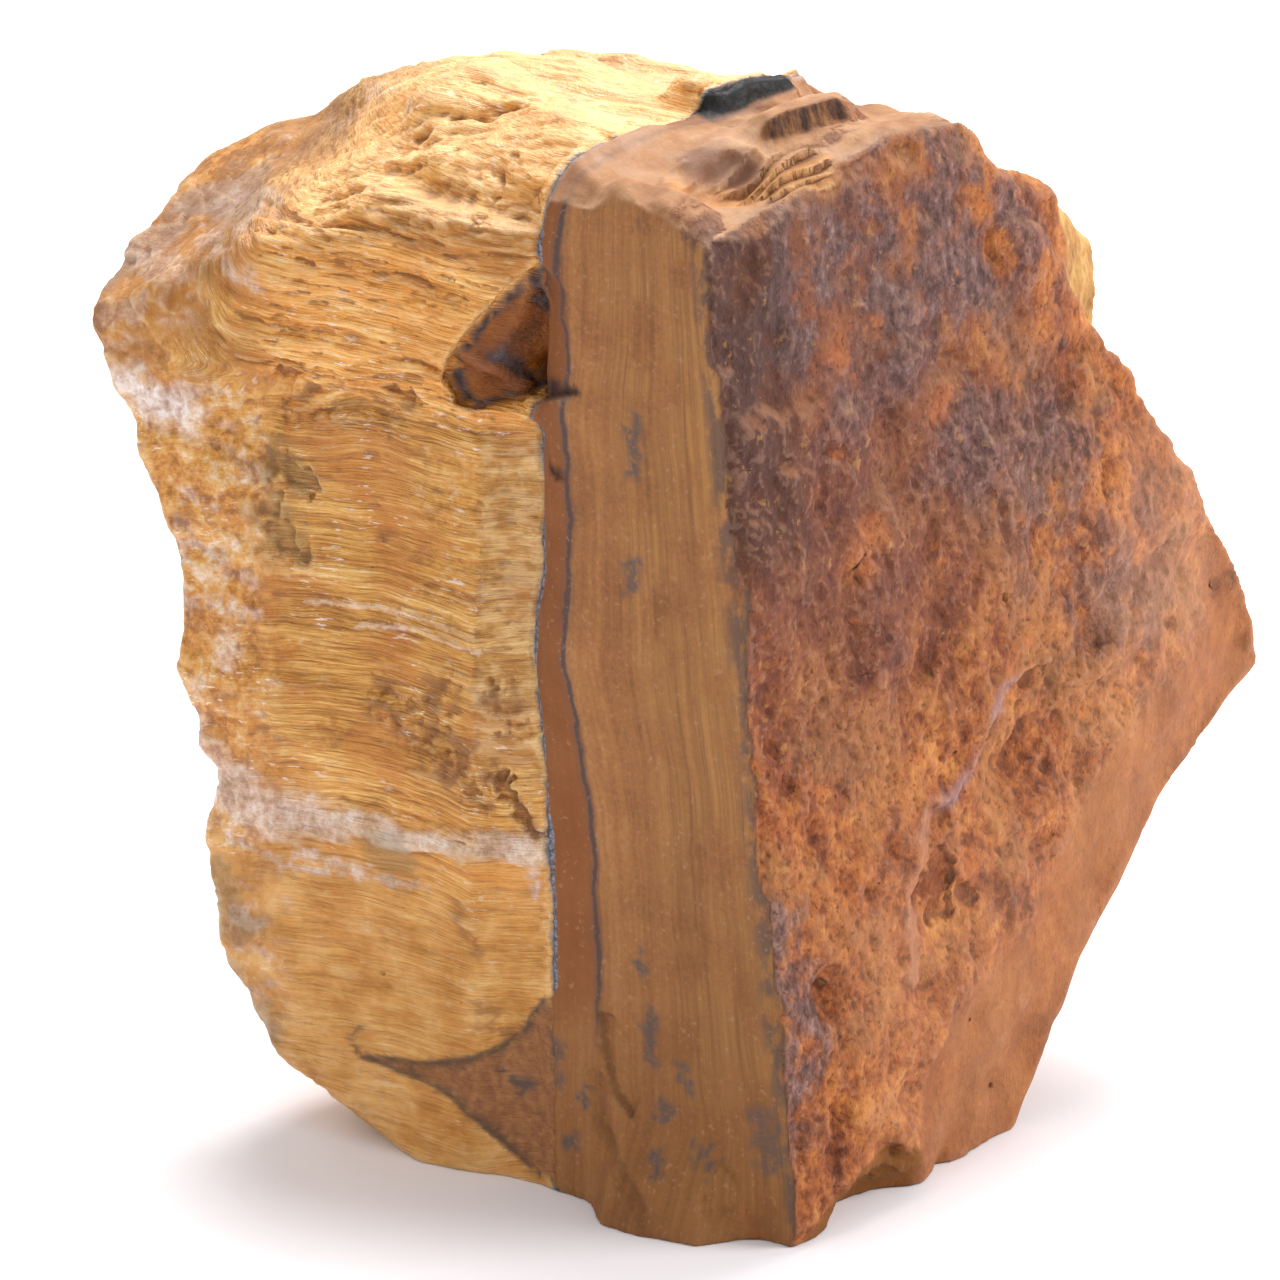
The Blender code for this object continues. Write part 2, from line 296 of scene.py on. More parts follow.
# Marks on the bedding face, as (y, height) places.
FLAKE_EDGE = ((13.2, 32.3), (4.5, 31.2), (2.7, 27.1), (0.2, 25.1), (-2.6, 25.2), (-4.6, 21.1), (-4.8, 16.6))
WORN_EDGE = (
    (-6.0, -1.0), (-5.3, 1.3), (-2.6, 9.9), (0.5, 12.4), (6.9, 15.3), (14.3, 22.7), (23.8, 29.0),
    (32.0, 34.0),
)
LUMP = (
    (-18.4, 52.5), (-15.0, 53.9), (-11.8, 52.8), (-7.4, 52.9), (-5.8, 50.0), (-4.2, 45.7),
    (-3.9, 41.8), (-6.5, 34.0), (-18.4, 31.0),
)
FLANK = ((-2.9, 24.3), (-4.4, 19.5), (-4.7, 15.0))
RED_PIT = ((-1.8, 21.6), (-1.7, 18.4))
ARCH = (
    (-15.8, -1.0), (-15.8, 0.4), (-12.8, 2.0), (-10.2, 3.4), (-6.7, 4.1), (-4.4, 2.9), (-4.4, -1.0),
)
# Marks at the foot of the clean break, as (left, up) places.
SCAR = ((14.7, 13.2), (13.8, 13.2), (12.0, 11.2), (11.5, 8.8), (12.3, 6.7), (13.5, 8.2), (14.3, 10.6))
SCAR_EDGE = ((13.8, 13.2), (14.7, 13.2), (14.3, 10.6), (13.5, 8.2), (12.3, 6.7))
FOOT_CREASE = ((15.0, 8.8), (14.6, 5.6), (12.9, 3.7), (10.5, 1.6), (9.8, 0.0))
# Marks on the chipped top, as (x, y, z) places.
SCOOP = ((13.6, -13.6, 66.9), (14.9, -12.2, 66.8))
SCOOP_SHADE = ((12.6, -12.6, 67.5), (14.1, -11.0, 67.3))
# the scoop's side that is painted as lit
SCOOP_LIT_SIDE = ((13.4, -15.6, 66.5), (15.6, -12.8, 66.3))
SPLINTERS = ((15.6, -11.4, 66.9), (17.4, -8.2, 67.0))
BLACK_LEDGE = ((9.4, -8.4, 69.0), (9.2, -1.6, 69.6))
BLACK_FOOT = 68.55  # height of the black glass's foot where y is -8.5
PEAK = (9.4, 0.9, 69.9)  # a stray height of the solid beside the black ledge
BROWN_BLOCK = ((14.2, -7.4, 68.9), (13.9, -2.7, 69.1))
SCOOP_RIM = ((13.0, -16.3, 66.6), (12.0, -12.5, 67.7), (12.4, -10.4, 68.1), (14.0, -9.9, 67.7))
LIP = ((12.6, -18.9, 66.1), (14.2, -17.9, 66.0), (15.6, -17.3, 65.7))
KNIFE_EDGE = ((21.3, 27.6, 34.6), (21.5, 28.4, 32.0))  # where two sides of the solid meet very sharply


def terraces(heights, count):
    """Heights gathered into flat steps with short risers between them."""
    scaled = heights * count
    base = np.floor(scaled)
    return (base + soft(scaled - base, 0.75, 1.0)) / count


def quartz_band(points):
    """How far inside the band of quartz each point of the break lies: 1 at its middle, 0 outside."""
    left, up, inward, _ = break_places(points)
    at, middle, half = np.array(QUARTZ_BAND)[::-1].T
    off = np.abs(up - np.interp(left, at, middle)) + 0.7 * rough(points * (0.35, 0.35, 0.9), 14, 3)
    return soft(off / np.interp(left, at, half), 1.15, 0.55) * soft(inward, 5.0, 3.0)


def in_notch(points):
    """1 in the notch that is broken out of the cap beside the seam."""
    _, _, inward, on_break = break_places(points)
    return within(on_break, NOTCH, 0.22) * soft(inward, 11.0, 8.0)


def granular(points):
    """Where the vein breaks into grains instead of fibres: its far left side and its back."""
    left, up, inward, _ = break_places(points)
    wander = 1.6 * rough(points * 0.3, 15, 2)
    lower = soft(left + wander, 37.5, 41.5) * soft(up, LEDGE + 0.5, LEDGE - 1.5)
    cap = soft(left + wander, 42.5, 46.5)
    behind = soft(inward + wander, 14.0, 24.0) * soft(up, 58.0, 52.0) * 0.8
    return strongest(lower, cap, behind)


def vein_relief(points):
    """Fibres, bundles, splintered ledges and lost chips of the vein; positive stands out."""
    left, up, inward, on_break = break_places(points)
    fibre = grain(points)
    front = soft(inward, 3.5, 2.0)
    in_cap = soft(up, LEDGE - 1.0, LEDGE + 1.0)
    torn = 0.30 + 0.60 * in_cap * soft(left, 46.0, 40.0) - 0.30 * soft(up, 60.0, 67.0)
    loose = granular(points)

    fine = 1.0 - 2.0 * np.abs(noise(fibre * (0.10, 1.5, 1.5), 21))
    bundles = rough(fibre * (0.06, 0.55, 0.55), 22, 2)
    ledges = terraces(noise(fibre * (0.09, 0.40, 0.40), 23), 3)
    splints = terraces(noise(fibre * (0.16, 1.1, 1.1), 24), 3)
    torn_off = soft(noise(fibre * (0.45, 2.0, 2.0), 26), 0.10, 0.30)
    torn_off *= soft(noise(points * 0.15, 27), -0.3, 0.2)
    lumps = rough(points * 0.30, 25, 4, 0.45)
    steps = terraces(noise(points * (0.13, 0.13, 0.24), 20) + 0.08 * rough(points * 0.8, 19, 2), 3)
    sugar = rough(points * 1.1, 30, 2, 0.6)
    fibrous = 0.10 * fine + torn * (0.18 * bundles + 0.48 * ledges + 0.30 * splints - 0.20 * torn_off)
    relief = fibrous * (1.0 - 0.85 * loose) + 0.10 * lumps
    relief += loose * (0.20 * lumps + 0.45 * steps + 0.06 * sugar)

    for pit in PITS:
        relief -= PIT_DEPTH * front * near_line(on_break, pit, 1.15, 0.7)
    relief += 0.12 * front * near_any(on_break, RIDGES, 0.24, 0.6)
    splintered = front * near_any(on_break, CAP_CRACKS, 1.1, 0.8)
    relief -= splintered * (0.10 + 0.45 * terraces(noise(fibre * (0.4, 1.4, 1.4), 16), 3))
    relief -= CREVICE_DEPTH * front * near_line(wandering(on_break), CREVICE, 0.5, 1.1)
    crumbled = near_any(on_break, CRUMBLED, 1.7, 0.9) * front
    relief -= crumbled * (0.10 + 0.26 * rough(points * 1.3, 28, 3))
    relief -= TOP_CRACK_DEPTH * near_any(wandering(points, 0.6, 0.35), TOP_CRACKS, 0.5, 0.0)
    risen = RISE_HEIGHT * soft(away_from_line(points, RISE), 6.5, 1.0)
    relief += 0.5 * near_line(points, TOP_BUNDLE, 1.0) + risen
    relief += 0.25 * front * quartz_band(points)
    relief -= 0.05 * front * near_line(on_break, SELVAGE_EDGE, 0.3, 1.2) * (1.0 - in_cap)
    return relief


def bedding_depth(points):
    """How far each point lies behind the plane of the bedding face."""
    return (CORNER - points) @ BEDDING_OUT


def below_edge(points, edge, spread):
    """1 below a line across the bedding face, given as (y, height) places, and 0 above it."""
    line_y, line_z = np.array(sorted(edge)).T
    wander = 0.5 * rough(points * 0.5, 18, 3)
    return soft(np.interp(points[:, 1], line_y, line_z) - points[:, 2] + wander, -spread, spread)


def far_end(points):
    """How much more a slanted facet counts as bedding face towards that face's far end."""
    return 0.28 * soft(points[:, 1], 0.0, 8.0)


def worn(points):
    """1 on the smooth slanted facets low on the far side of the bedding face."""
    return below_edge(points, WORN_EDGE, 1.2) * soft(points[:, 1], -7.5, -5.0)


def rusty_relief(points):
    """Lumps, slanting furrows and a lost flake of the weathered bedding face."""
    slant = points * (1.0, 1.0, 0.8)
    slant[:, 1] += 0.25 * points[:, 2]
    lumps = rough(points * 0.12, 31, 2)
    knobs = rough(slant * 0.26, 32, 3)
    craggy = 0.5 - np.abs(rough(slant * 0.45, 33, 4, 0.6))
    gritty = rough(slant * 2.2, 34, 2, 0.6)
    face = points[:, 1:]
    step = away_from_line(face, FLAKE_EDGE)
    below = below_edge(points, FLAKE_EDGE, 0.3) * soft(face[:, 0], 12.0, 6.0) * soft(face[:, 0], -5.5, -4.0)
    uneven = (1.0 - 0.92 * worn(points)) * (1.0 - 0.35 * soft(points[:, 2], 48.0, 58.0))
    furrows = 0.4 - np.abs(rough(slant * (0.5, 0.40, 0.20), 35, 2))
    relief = 0.50 * lumps + uneven * (0.42 * knobs + 0.32 * craggy + 0.22 * furrows + 0.08 * gritty)
    relief += LUMP_HEIGHT * within(face, LUMP, 1.1) * soft(away_from_line(face, LUMP[:-1]), 11.0, 0.5)
    flank = near_line(face, FLANK, 1.3, 0.3)
    relief = relief * (1.0 - 0.8 * flank) + 0.30 * flank - 0.5 * near_line(face, RED_PIT, 1.4, 0.9)
    return relief - FLAKE_DEPTH * below * soft(step, 6.0, 0.5)


def shards(points):
    """Thin splinters that lie on one another like tiles, each rising from 0 to a sharp edge at 1."""
    over = points @ np.array([0.80, 0.05, -0.45]) / 0.85
    over += 0.65 * noise(points * (0.6, 0.24, 0.6), 43)
    return (over - np.floor(over)) ** 1.5


def clean_relief(points, normals):
    """The nearly smooth break across the layers, a scar and a crease at its foot, and the chipped top."""
    left, up, inward, on_break = break_places(points)
    front = soft(inward, 4.0, 2.0)
    across = seam_x(points) - points[:, 0]
    layered = np.stack([across, 0.06 * points[:, 1], 0.04 * points[:, 2]], axis=1)
    relief = 0.035 * noise(layered * (1.3, 1.0, 1.0), 36) + 0.10 * rough(points * 0.16, 37, 2)
    relief += 0.022 * rough(points * 1.6, 38, 2)
    scar_depth = 0.08 + 0.34 * soft(away_from_line(on_break, SCAR_EDGE), 1.8, 0.0)
    relief -= front * within(on_break, SCAR, 0.14) * scar_depth
    relief -= CREASE_DEPTH * front * near_line(on_break, FOOT_CREASE, 0.7, 0.2)
    shelf = soft(left, 15.9, 17.2) * soft(up, 60.5, 54.0)
    relief -= SHELF_DEPTH * front * shelf * soft(up - shelf_height(left), -0.15, 0.15)

    upward = soft(normals[:, 2], 0.35, 0.7)
    plates = terraces(noise(layered * (0.55, 2.6, 2.6), 39), 4)
    relief += upward * (0.30 * plates + 0.12 * rough(points * 0.4, 40, 3))
    from_scoop = away_from_line(points, SCOOP) + 0.4 * noise(points * 0.6, 42)
    relief -= SCOOP_DEPTH * soft(from_scoop, 2.9, 0.5)
    relief += 0.40 * near_line(points, SCOOP_RIM, 0.9, 0.3)
    relief += 0.55 * (shards(points) - 0.4) * near_line(points, SPLINTERS, 2.3, 0.9)
    block = near_line(points, BROWN_BLOCK, 1.5, 0.1) * upward
    return relief * (1.0 - block) + 0.25 * block


def ironstone_relief(points, normals):
    """The bedding face's weathered relief, easing into the clean breaks; positive stands out."""
    rusty = soft(normals @ BEDDING_OUT + far_end(points) + 0.06 * noise(points * 0.5, 44), 0.45, 0.75)
    rusty = np.maximum(rusty, worn(points) * soft(bedding_depth(points), 12.0, 9.0))
    return rusty * rusty_relief(points) + (1.0 - rusty) * clean_relief(points, normals)


def relief(points, normals):
    """How far the finished surface stands out from the smoothed solid."""
    from_seam = points[:, 0] - seam_x(points)
    in_ironstone = soft(from_seam, -0.25, 0.25)
    in_tongue = tongue(points)
    stone = np.zeros(len(points))
    vein = in_ironstone < 1.0
    share = (1.0 - in_ironstone[vein]) * (1.0 - 0.85 * in_tongue[vein])
    stone[vein] += vein_relief(points[vein]) * share
    layers = in_ironstone > 0.0
    stone[layers] += ironstone_relief(points[layers], normals[layers]) * in_ironstone[layers]

    notch = in_notch(points)
    left, _, inward, on_break = break_places(points)
    floor = 0.08 * rough(points * 0.5, 29, 2) + 0.35 * near_line(on_break, NOTCH_STREAK, 0.6, 0.3)
    slope = 0.9 * np.clip((left - SHELF_START) / 3.2, 0.0, 1.0) + 0.8 * soft(left, 19.3, 20.6)
    sunk = np.clip(slope - inward, 0.0, 1.7)
    stone = stone * (1.0 - notch) + (floor - sunk) * notch
    seam_line = soft(np.abs(from_seam + 0.1), 0.3, 0.05) * (1.0 - notch) * (1.0 - in_tongue)
    glassy = black_glass(points)
    blocky = 0.22 * terraces(noise(points * 0.7, 45), 3) - 0.15
    stone = (stone - 0.18 * seam_line) * (1.0 - glassy) + glassy * blocky
    return stone * soft(away_from_line(points, KNIFE_EDGE), 1.0, 3.5)


def tongue(points):
    """1 on the tongue of ironstone that runs into the vein low on the break."""
    _, _, inward, on_break = break_places(points)
    return within(on_break, TONGUE, 0.10) * soft(inward, 5.0, 3.5)


def black_glass(points):
    """1 on the glassy black remnant along the seam's top edge, whose foot rises towards the back."""
    near = away_from_line(points, BLACK_LEDGE) + 0.3 * noise(points * 0.8, 41)
    above_foot = points[:, 2] - BLACK_FOOT - 0.10 * (points[:, 1] + 8.5)
    return soft(near, 1.9, 1.6) * soft(above_foot, -0.15, 0.15) * soft(points[:, 1], -8.8, -8.2)


# ---------------------------------------------------------------- making the meshes

def mesh_points(mesh):
    points = np.empty(3 * len(mesh.vertices))
    mesh.vertices.foreach_get("co", points)
    return points.reshape(-1, 3)


def mesh_normals(mesh):
    normals = np.empty(3 * len(mesh.vertices))
    mesh.vertices.foreach_get("normal", normals)
    return normals.reshape(-1, 3)


def set_points(mesh, points):
    mesh.vertices.foreach_set("co", points.ravel())
    mesh.update()


def with_modifiers(obj, *modifiers):
    """Run modifiers, each a (type, settings) pair, on an object and keep what they make of its mesh."""
    for kind, settings in modifiers:
        modifier = obj.modifiers.new(kind.lower(), kind)
        for setting, value in settings.items():
            setattr(modifier, setting, value)
    depsgraph = bpy.context.evaluated_depsgraph_get()
    mesh = bpy.data.meshes.new_from_object(obj.evaluated_get(depsgraph))
    obj.modifiers.clear()
    obj.data = mesh


def evened(points, edges, rounds):
    """The points after each has moved halfway to its neighbours' middle, over and over."""
    first, second = edges.T
    neighbours = np.bincount(edges.ravel(), minlength=len(points))[:, None]
    for _ in range(rounds):
        sums = [
            np.bincount(first, points[second, axis], len(points))
            + np.bincount(second, points[first, axis], len(points))
            for axis in range(3)
        ]
        points = 0.5 * points + 0.5 * np.stack(sums, axis=1) / neighbours
    return points


def mesh_edges(mesh):
    edges = np.empty(2 * len(mesh.edges), np.int32)
    mesh.edges.foreach_get("vertices", edges)
    return edges.reshape(-1, 2)


def standing_out(mesh, rounds):
    """How far each point stands out from its surroundings, which more rounds make wider."""
    points = mesh_points(mesh)
    offsets = points - evened(points, mesh_edges(mesh), rounds)
    return np.einsum("ij,ij->i", offsets, mesh_normals(mesh))


def reshape(mesh):
    """Wear the granular end of the vein, fill dents in the worn facets, sink a stray peak and lift a lip."""
    points = mesh_points(mesh)
    left, up, _, _ = break_places(points)
    share = np.maximum(soft(left, 37.0, 42.0), soft(up, 58.0, 63.0) * soft(left, 30.0, 36.0))
    share *= soft(up, 1.0, 4.0)
    shift = evened(points, mesh_edges(mesh), ROUNDING) - points
    normals = mesh_normals(mesh)
    outward = np.clip(np.einsum("ij,ij->i", shift, normals), 0.0, None)
    dents = outward * soft(bedding_depth(points), 12.0, 9.0)
    filled = np.maximum(worn(points), soft(points[:, 1], 21.0, 24.0))
    points += share[:, None] * shift + (filled * dents)[:, None] * normals
    points[:, 2] -= PEAK_DROP * soft(away_from_line(points, (PEAK, PEAK)), 2.4, 0.8)
    points[:, 2] += LIP_LIFT * soft(away_from_line(points, LIP), 2.6, 0.8)
    set_points(mesh, points)


def new_object(name, bm):
    mesh = bpy.data.meshes.new(name)
    bm.to_mesh(mesh)
    bm.free()
    obj = bpy.data.objects.new(name, mesh)
    bpy.context.scene.collection.objects.link(obj)
    return obj


def fine_stone():
    """A fine, smoothed copy of the solid in millimetres, with all of its relief."""
    bm = bmesh.new()
    bm.from_mesh(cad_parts["stone"].data)
    bmesh.ops.scale(bm, vec=(1.0 / MM,) * 3, verts=bm.verts)
    bmesh.ops.remove_doubles(bm, verts=bm.verts, dist=1e-4)
    fine = new_object("fine_stone", bm)
    with_modifiers(
        fine,
        ("REMESH", {"mode": "VOXEL", "voxel_size": CELL}),
        ("SMOOTH", {"factor": 0.5, "iterations": SMOOTHING}),
    )
    reshape(fine.data)
    points = mesh_points(fine.data)
    normals = mesh_normals(fine.data)
    amount = relief(points, normals)
    settled = soft(points[:, 2], 0.3, 2.0)
    points += (amount * settled)[:, None] * normals
    set_points(fine.data, points)
    return fine


def stone_part(fine, name, vein_side):
    """One side of the seam as a closed piece, thinned to a count of triangles that exports whole."""
    points = mesh_points(fine.data)
    bm = bmesh.new()
    bm.from_mesh(fine.data)
    seam = seam_x(points)
    bm.verts.ensure_lookup_table()
    for vert, x in zip(bm.verts, seam):
        vert.co.x -= x
    bmesh.ops.bisect_plane(
        bm,
        geom=bm.verts[:] + bm.edges[:] + bm.faces[:],
        dist=0.01,
        plane_co=(0.0, 0.0, 0.0),
        plane_no=(1.0, 0.0, 0.0),
        clear_outer=vein_side,
        clear_inner=not vein_side,
    )
    bmesh.ops.holes_fill(bm, edges=[edge for edge in bm.edges if edge.is_boundary])
    bmesh.ops.triangulate(bm, faces=[face for face in bm.faces if len(face.verts) > 4])
    part = new_object(name, bm)
    warped = mesh_points(part.data)
    warped[:, 0] += seam_x(warped)
    set_points(part.data, warped)
    triangles = 2 * len(part.data.polygons)
    with_modifiers(part, ("DECIMATE", {"ratio": min(1.0, MOST_TRIANGLES / triangles)}))
    return part


def add_mask(mesh, name, values):
    """Keep one number for each vertex, which the material reads by name."""
    attribute = mesh.attributes.new(name, "FLOAT", "POINT")
    attribute.data.foreach_set("value", np.asarray(values, np.float32))


def add_places(mesh, name, values):
    """Keep one vector for each vertex, which the material reads by name."""
    attribute = mesh.attributes.new(name, "FLOAT_VECTOR", "POINT")
    attribute.data.foreach_set("vector", np.asarray(values, np.float32).ravel())


# Colour marks on the break, as (left, up) places: blue-grey smudges, white and olive streaks, crumbs.
SMUDGES = (
    ((12.0, 53.0), (12.0, 49.4)), ((12.2, 43.7), (12.2, 41.9)), ((11.1, 14.0), (11.0, 10.8)),
    ((8.7, 10.4), (8.4, 9.6)), ((10.1, 7.8), (9.9, 7.1)), ((11.8, 17.6), (11.8, 17.0)),
    ((10.0, 4.6), (9.9, 3.9)), ((7.0, 5.6), (6.8, 4.8)),
)
BROAD_SMUDGE = ((3.4, 8.2), (2.6, 5.6))
TONGUE_SMUDGES = (
    ((22.3, 7.3), (21.2, 6.6)), ((21.0, 6.2), (20.2, 7.0)), ((17.9, 7.7), (17.5, 8.4)),
    ((15.8, 7.4), (15.4, 6.6)), ((16.6, 4.4), (17.2, 3.6)), ((17.6, 9.6), (17.9, 10.4)),
)
TONGUE_HOOK = ((32.4, 8.7), (33.2, 7.5), (32.8, 6.5), (31.2, 6.2))
WHITE_STREAKS = (
    ((44.0, 38.6), (42.4, 37.6), (40.6, 37.0)), ((47.0, 34.8), (43.8, 35.3), (40.5, 35.0)),
    ((45.6, 42.6), (43.6, 41.9)), ((37.4, 19.6), (33.5, 19.1), (28.1, 19.1)),
    ((42.5, 19.5), (38.0, 18.4), (33.8, 18.8)), ((19.7, 24.0), (19.6, 20.2)),
)
OLIVE_DEPTHS = (((43.7, 16.4), (41.4, 13.8)), ((42.3, 9.4), (40.4, 6.4)), ((31.5, 21.0), (29.0, 20.8)))
SMALL_CRUMBS = (
    ((23.8, 11.4), (22.4, 11.6)), ((23.9, 10.2), (21.6, 10.2)), ((25.4, 18.3), (25.0, 17.0), (23.7, 15.2)),
)
CHIP = ((18.2, 48.9), (17.5, 48.2))
# Colour marks on the bedding face, as (y, height) places.
SHADED = ((-16.0, 62.0), (-8.0, 48.0))
DARK_CORNER = ((-16.4, 64.0), (-15.6, 48.0))
VIOLET_TOP = ((-10.0, 61.0), (2.0, 60.0))
VIOLET_STREAK = ((2.0, 50.0), (10.0, 44.0), (17.0, 35.5))
VIOLET_FOOT = ((-16.5, 21.0), (-15.0, 14.0), (-16.8, 7.0))
ORANGE_SPOTS = ((-7.9, 56.1), (-6.1, 44.2), (0.5, 51.1), (-7.9, 42.7), (1.0, 20.5))


def mark_fibres(mark, points, normals, ragged):
    """Where the fibres are bright, honey brown with painted shade on the cap by the break's top, paler with
    a painted highlight where they face up, mellow, weathered, granular, dusky or straight.
    """
    left, up, inward, _ = break_places(points)
    in_cap = soft(up, LEDGE - 1.0, LEDGE + 1.0) * soft(left, 44.0, 37.0)
    mark("bright", np.maximum(0.9 * in_cap, 0.7 * soft(up, 30.0, 19.0) * soft(left, 44.0, 36.0)))
    far_cap = soft(left + 1.5 * ragged, 38.0, 43.0) * soft(up, LEDGE - 2.0, LEDGE + 1.0)
    honey_and_shade = far_cap * soft(noise(points * 0.28, 55), -0.60, 0.05)
    # this mask also carries painted shade: the cap just left of the break's top is made darker amber-brown
    mark("honey_and_shade", np.maximum(honey_and_shade, 0.8 * near_line(points, CAP_SHADE, 3.2, 0.8)))
    # painted highlight: fibres on the cap's top that face up are made paler, as if lit from above
    mark("upward", soft(normals[:, 2], 0.30, 0.80) * soft(up, 54.0, 61.0) * soft(left, 46.0, 32.0))
    mark("mellow", soft(up + 2.0 * ragged, 27.0, 15.0))
    mark("weathered", soft(inward + 2.0 * ragged, 10.0, 22.0))
    mark("granular", granular(points))
    mark("dusky", near_any(points, DUSKY, 2.6, 0.9))
    beside_seam = soft(left, SELVAGE + 0.2, SELVAGE - 0.3) * soft(up, LEDGE - 0.5, LEDGE - 1.5)
    mark("selvage", beside_seam * soft(up, 26.0, 30.0) * soft(inward, *COLOUR_DEPTH))


def mark_quartz(mark, points, ragged):
    """Where the vein is milky quartz: in patches, a band, thin ridges, streaks, silky threads and specks."""
    left, up, inward, on_break = break_places(points)
    front = soft(inward, *COLOUR_DEPTH)
    weathered = soft(inward + 2.0 * ragged, 10.0, 22.0)
    specks = soft(noise(points * (0.60, 0.60, 1.1), 52), 0.03, 0.30)
    specks *= soft(noise(points * 0.16, 54), -0.25, 0.3)
    silk = soft(noise(grain(points) * (0.4, 2.2, 2.2), 56), -0.05, 0.25)
    quartz = strongest(
        *(near_line(points, line, width, 0.8) for line, width in QUARTZ),
        0.9 * quartz_band(points),
        0.6 * front * near_any(on_break, RIDGES, 0.22, 1.4),
        0.75 * front * near_any(on_break, WHITE_STREAKS, 0.45, 1.6),
        0.9 * silk * near_any(points, SILKY, 1.6, 0.9),
        0.9 * granular(points) * specks * (1.0 - 0.6 * weathered),
    )
    far_cap = soft(left, 38.0, 43.0) * soft(up, LEDGE - 2.0, LEDGE + 1.0)
    mark("quartz", np.clip(quartz, 0.0, 1.0) * (1.0 - 0.5 * far_cap))


def mark_stains(mark, points):
    """Where the vein is crumbled, cracked, pitted or smudged, with painted shadow in its crevice and in the
    cracks across its top.
    """
    _, _, inward, on_break = break_places(points)
    front = soft(inward, *COLOUR_DEPTH)
    shreds = soft(noise(grain(points) * (0.45, 2.0, 2.0), 17), 0.0, 0.35)
    stains_and_crack_shade = strongest(
        0.9 * front * near_any(on_break, CRUMBLED, 1.8, 1.0) * soft(noise(points * 0.9, 53), -0.3, 0.25),
        # painted shadow in the crevice
        front * near_line(wandering(on_break), CREVICE, 0.6, 1.1),
        0.7 * front * near_any(on_break, SMALL_CRUMBS, 0.5, 1.4),
        0.9 * shreds * front * near_any(on_break, CAP_CRACKS, 1.3, 0.9),
        # painted shade along the cracks across the top
        0.7 * near_any(wandering(points, 0.6, 0.35), TOP_CRACKS, 0.5, 0.0),
        0.4 * shreds * near_any(points, TOP_CRACKS, 2.2, 0.9),
    )
    mark("stains_and_crack_shade", stains_and_crack_shade)
    olive = np.maximum(near_any(on_break, PITS, 1.6, 0.9), near_any(on_break, OLIVE_DEPTHS, 2.0, 0.9))
    mark("olive", front * olive)
    mark("smudged", front * near_any(on_break, TONGUE_SMUDGES, 0.5, 1.4))


def mark_vein_edges(mark, points, ragged):
    """The notch and its rim, the edge along the seam, the tongue of ironstone and the black glass."""
    _, _, inward, on_break = break_places(points)
    notch = in_notch(points)
    in_tongue = tongue(points)
    rim = strongest(
        soft(away_from_line(on_break, NOTCH_RIM) + 0.25 * ragged, 0.55, 0.35),
        soft(away_from_line(on_break, NOTCH_FOOT) + 0.2 * ragged, 0.42, 0.25),
        0.85 * near_any(on_break, NOTCH_STAINS, 0.75, 0.8),
    )
    # the notch's darker colour in the finish is painted shade under the cap's overhang
    mark("notch", notch)
    mark("rim", notch * rim)
    mark("streak", notch * near_line(on_break, NOTCH_STREAK, 0.45, 0.3))
    mark("black", black_glass(points))
    from_seam = points[:, 0] - seam_x(points)
    mark("seam_edge", soft(from_seam + 0.10 * ragged, -0.24, -0.06) * (1.0 - notch) * (1.0 - in_tongue))
    outline = soft(away_from_line(on_break, TONGUE[1:-1]) + 0.08 * ragged, 0.30, 0.10)
    outline = np.maximum(outline, 0.8 * near_line(on_break, TONGUE_HOOK, 0.26, 0.6))
    mark("tongue", in_tongue)
    mark("tongue_edge", soft(inward, *COLOUR_DEPTH) * outline)


def mark_vein(mesh):
    """Give the vein's points the masks and places that its finish reads."""
    points = mesh_points(mesh)
    ragged = 0.9 * rough(points * 0.5, 51, 4)
    mark = functools.partial(add_mask, mesh)
    add_places(mesh, "fibre", grain(points))
    mark("proud", standing_out(mesh, NEARBY))
    mark("bulging", standing_out(mesh, ALL_ROUND))
    mark_fibres(mark, points, mesh_normals(mesh), ragged)
    mark_quartz(mark, points, ragged)
    mark_stains(mark, points)
    mark_vein_edges(mark, points, ragged)


